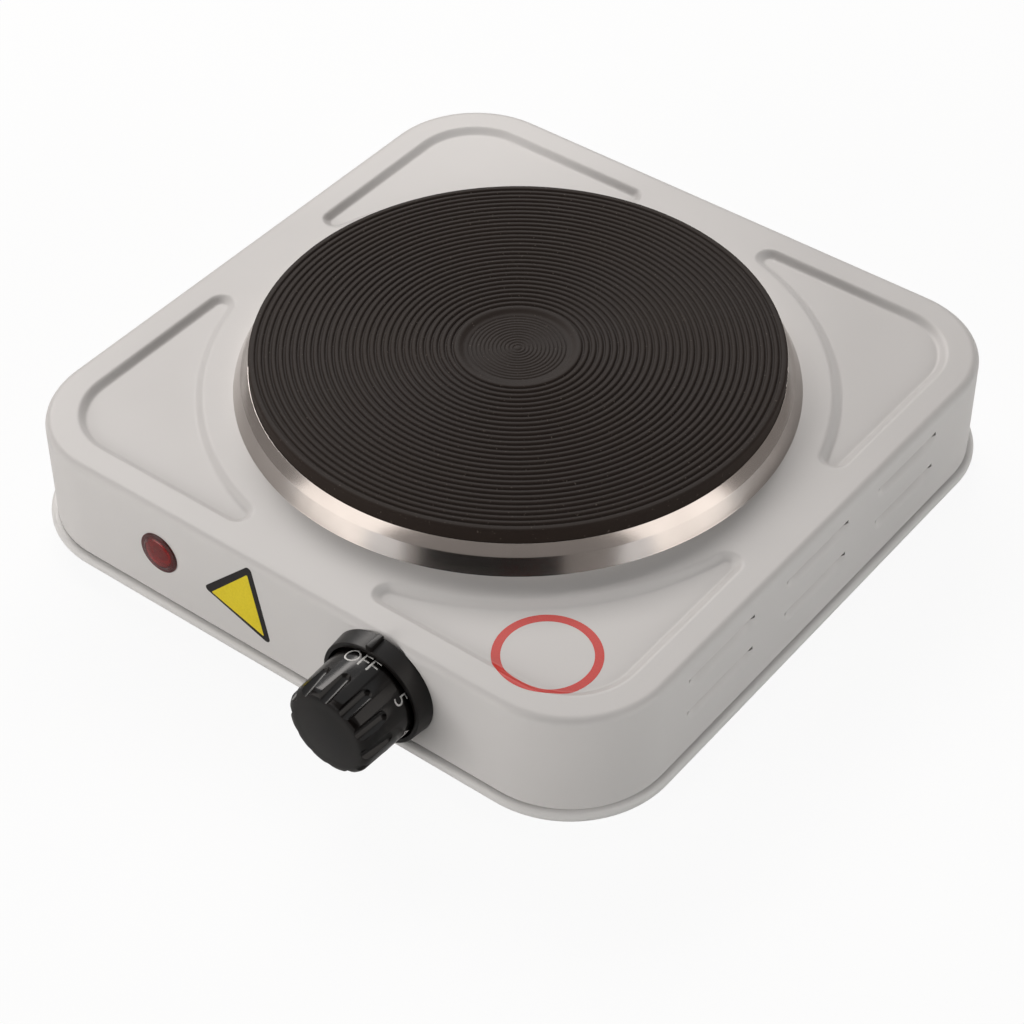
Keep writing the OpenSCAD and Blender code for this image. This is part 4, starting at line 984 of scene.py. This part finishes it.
settings = (("OFF", -4), ("5", 60), ("4", 112), ("3", 172), ("2", 232), ("1", 292))
labels = join([printed(label, turn) for label, turn in settings])
put(labels, knob_axis, on_knob)
white_ink = new_material("white pad print ink")
tree = white_ink.node_tree
thin = noise(tree, 0.4 * mm, 2)
surface(tree, {"IOR": 1.5}, {
    "Base Color": ramp(tree, thin.outputs["Fac"], "#c9c8c6", "#e4e3e1"),
    "Roughness": between(tree, thin.outputs["Fac"], 0.45, 0.6)})
hand_in(labels, "knob_settings_print", white_ink, "knob", "knob_moulding")


# ---- Pilot lamp lens ----
# Clear red plastic cap with a shallow dome inside a rim, over the neon bulb.
lens_axis = Vector((lamp_x, front_y, control_z))
lens_out = front_y - lens_low.y
lens_r = (lens_high.x - lens_low.x) / 2
tube_r = lens_r - 1.2 * mm
lens_profile = rounded([
    (0, lens_out, 0), (2.6 * mm, lens_out - 0.12 * mm, 0.8), (4.6 * mm, lens_out - 0.35 * mm, 0.5),
    (5.1 * mm, lens_out - 0.75 * mm, 0.3), (lens_r, 0.55 * mm, 0.3), (lens_r, 0, 0.1), (tube_r, 0, 0),
    (tube_r, -3 * mm, 0.2), (tube_r - 1 * mm, -3 * mm, 0.2), (tube_r - 1 * mm, 0, 0.4),
    (2.6 * mm, 0.2 * mm, 0.6), (0, 0.2 * mm, 0)])
lens = put(turned(lens_profile, 96), lens_axis, on_knob)
smooth(lens, 40)
red_plastic = new_material("clear red polycarbonate")
tree = red_plastic.node_tree
flow = noise(tree, 1.5 * mm, 2)
red_dye = {"Base Color": linear("#b80a0c"), "Transmission Weight": 0.92}
surface(tree, {"IOR": 1.58, "Specular IOR Level": 0.2, **red_dye}, {
    "Roughness": between(tree, flow.outputs["Fac"], 0.04, 0.10)})
hand_in(lens, "pilot_lamp_lens", red_plastic, "housing", "lens_red", "lamp_lens")


# ---- Yellow triangle ----
# Blank vinyl sticker on the front wall: a black triangle with round corners and a smaller yellow
# one printed on it. It is 0.1 mm thick and its edges are cut square.
film, ink_film = 0.08 * mm, 0.02 * mm


def triangle(corners, rounding, thickness, lift=0):
    """A thin triangle on the front wall's face, with corners of (across, up) in mm rounded off."""
    outline = rounded([(x * mm, z * mm, rounding) for x, z in corners], closed=True)
    return put(prism(outline, lift, lift + thickness), (0, front_y, tray_low.z), on_knob)


dark_part = triangle([(-28.4, 16.8), (-10.1, 35.2), (-4.7, 8.4)], 1.2, film)
yellow_part = triangle([(-25.4, 16.5), (-11.3, 31.2), (-7.0, 10.6)], 0.3, ink_film, film)


def vinyl(name, dark, light):
    made = new_material(name)
    tree = made.node_tree
    ink = noise(tree, 0.5 * mm, 2)
    ripple = noise(tree, 5 * mm, 2)
    surface(tree, {"IOR": 1.5, "Specular IOR Level": 0.3}, {
        "Base Color": ramp(tree, ink.outputs["Fac"], dark, light),
        "Roughness": between(tree, ink.outputs["Fac"], 0.34, 0.44),
        "Normal": bumped(tree, ripple.outputs["Fac"], 0.02 * mm)})
    return made


dark_vinyl = vinyl("black printed vinyl", "#120e10", "#191517")
yellow_vinyl = vinyl("yellow printed vinyl", "#dbc620", "#e2cd2a")
hand_in(dark_part, "triangle_border", dark_vinyl, "housing", "housing_powder_coat")
hand_in(yellow_part, "triangle_field", yellow_vinyl, "housing", "housing_powder_coat")


# ---- Red ring ----
# Blank ring of red vinyl stuck in the front right pad. It is wider than the pad's floor and
# follows the pressing up the slope on one side.
circle_r, circle_band = 14.5 * mm, 2.4 * mm
circle_place = Vector((71.5 * mm, middle_y - 80.7 * mm, 0))
above_pad = 5 * mm
turns, bands = 180, 8
corners, faces = [], []
for i in range(turns):
    for j in range(bands + 1):
        r, a = circle_r - circle_band * j / bands, 2 * pi * i / turns
        corners.append(circle_place + Vector((r * cos(a), r * sin(a), top_z + above_pad)))
        if j < bands:
            start, following = i * (bands + 1) + j, (i + 1) % turns * (bands + 1) + j
            faces.append((start, start + 1, following + 1, following))
mesh = bpy.data.meshes.new("circle")
mesh.from_pydata(corners, [], faces)
circle = bpy.data.objects.new("circle", mesh)
scene.collection.objects.link(circle)
modify(circle, "SHRINKWRAP", target=housing, wrap_method="PROJECT", use_project_z=True,
    use_negative_direction=True, use_positive_direction=False, offset=0.03 * mm)
modify(circle, "SOLIDIFY", thickness=0.06 * mm, offset=1)
edit()
bpy.ops.mesh.select_all(action="SELECT")
bpy.ops.mesh.normals_make_consistent(inside=False)
leave_edit()
smooth(circle, 40)
red_vinyl = vinyl("red printed vinyl", "#d02a20", "#d63328")
hand_in(circle, "red_ring_sticker", red_vinyl, "housing", "housing_powder_coat")


# ---- Cord bush ----
# Black moulded bush snapped into its hole in the rear wall, with a flange outside, a barb inside
# and a bore with rounded mouths for a 7 mm cord. No cord is fitted.
bush_out = bush_high.y - rear_y
bush_in = rear_y - bush_low.y - sheet
bush_r = (bush_high.x - bush_low.x) / 2
bush_barb_r, bush_neck_r, bush_bore = bush_r - 0.8 * mm, 6.4 * mm, 3.6 * mm
bush_profile = rounded([
    (bush_bore, -sheet - bush_in, 0.4), (bush_barb_r, -sheet - bush_in, 0.4), (bush_barb_r, -sheet, 0),
    (bush_neck_r, -sheet, 0), (bush_neck_r, 0, 0), (bush_r, 0, 0.3), (bush_r - 1.2 * mm, bush_out, 0.6),
    (bush_bore, bush_out, 0.7)], closed=True)
bush_axis = Vector(((bush_low.x + bush_high.x) / 2, rear_y, control_z))
bush = put(turned(bush_profile, 96, closed=True), bush_axis, Matrix.Rotation(-pi / 2, 4, "X"))
smooth(bush, 35)
bush_black = black_moulding("matt black nylon", "#111111", 0.45, 0.58)
hand_in(bush, "cord_entry_bush", bush_black, "housing", "bush_moulding", "cord_bush")


# ---- Inner pieces ----
# The clamp, thermostat, lamp and wiring inside the housing keep their plain shapes and are given
# the finish of the real metal, ceramic, glass or sleeve, but the neon bulb's glass is dark brown as
# painted shade inside the lamp.
def finish_nodes(material, *names):
    for name in names:
        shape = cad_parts[name].data
        shape.materials.clear()
        shape.materials.append(material)


def plain_finish(name, dark, light, low, high, size, values=None):
    """A finish whose colour and roughness vary a little in patches of a size."""
    made = new_material(name)
    tree = made.node_tree
    patch = noise(tree, size, 3)
    surface(tree, values or {}, {
        "Base Color": ramp(tree, patch.outputs["Fac"], dark, light),
        "Roughness": between(tree, patch.outputs["Fac"], low, high)})
    return made


finish_nodes(zinc, "corner_brackets", "plate_back_cover", "element_pins", "mounting_stud", "cover_nut",
    "clamp_bridge", "bridge_washer", "bridge_nut", "thermostat_bracket", "thermostat_screws",
    "control_spindle", "stack_rivet", "knob_spring_clip", "lamp_clip", "terminal_screws", "block_screws")
wire = plain_finish("oxidised resistance wire", "#5b5653", "#77726e", 0.4, 0.55, 2 * mm, {"Metallic": 1})
finish_nodes(wire, "heating_coil")
powder = plain_finish("pressed magnesia", "#d8d3c8", "#e4e0d6", 0.85, 0.95, 1 * mm)
finish_nodes(powder, "magnesia_fill")
ceramic = plain_finish("glazed steatite", "#dedad0", "#e9e6de", 0.25, 0.4, 3 * mm, {"IOR": 1.6})
finish_nodes(ceramic, "ceramic_beads", "push_pin", "stack_insulators", "terminal_block")
brass = plain_finish("bright brass", "#c9a45a", "#d8b46a", 0.22, 0.36, 3 * mm, {"Metallic": 1})
finish_nodes(brass, "thermostat_bush", "contact_spring", "fixed_contact", "terminal_inserts",
    "earth_screw", "earth_tag")
nickel = plain_finish("bimetal strip", "#aaa7a0", "#bcb9b2", 0.3, 0.42, 2 * mm, {"Metallic": 1})
finish_nodes(nickel, "bimetal_blade")
nylon = plain_finish("white nylon", "#dcdad4", "#e6e4df", 0.45, 0.6, 3 * mm, {"IOR": 1.53})
finish_nodes(nylon, "lamp_body")
# The bulb's glass is dark brown and mostly opaque. This is painted shade for the dark inside of the lamp
# behind the red lens.
glass = plain_finish("neon bulb glass darkened as painted shade", "#2e211d", "#3d2c26", 0.02, 0.05, 3 * mm,
    {"IOR": 1.5, "Transmission Weight": 0.3})
finish_nodes(glass, "neon_bulb")
brown_sleeve = plain_finish("brown glass-fibre sleeve", "#5e3d26", "#6d4930", 0.7, 0.85, 0.6 * mm)
finish_nodes(brown_sleeve, "live_lead", "heater_lead")
blue_sleeve = plain_finish("blue glass-fibre sleeve", "#2f4f86", "#3b5c96", 0.7, 0.85, 0.6 * mm)
finish_nodes(blue_sleeve, "neutral_lead", "lamp_leads")
green_sleeve = plain_finish("green and yellow sleeve", "#4b8a3c", "#c9c23a", 0.7, 0.85, 2.5 * mm)
finish_nodes(green_sleeve, "earth_lead")
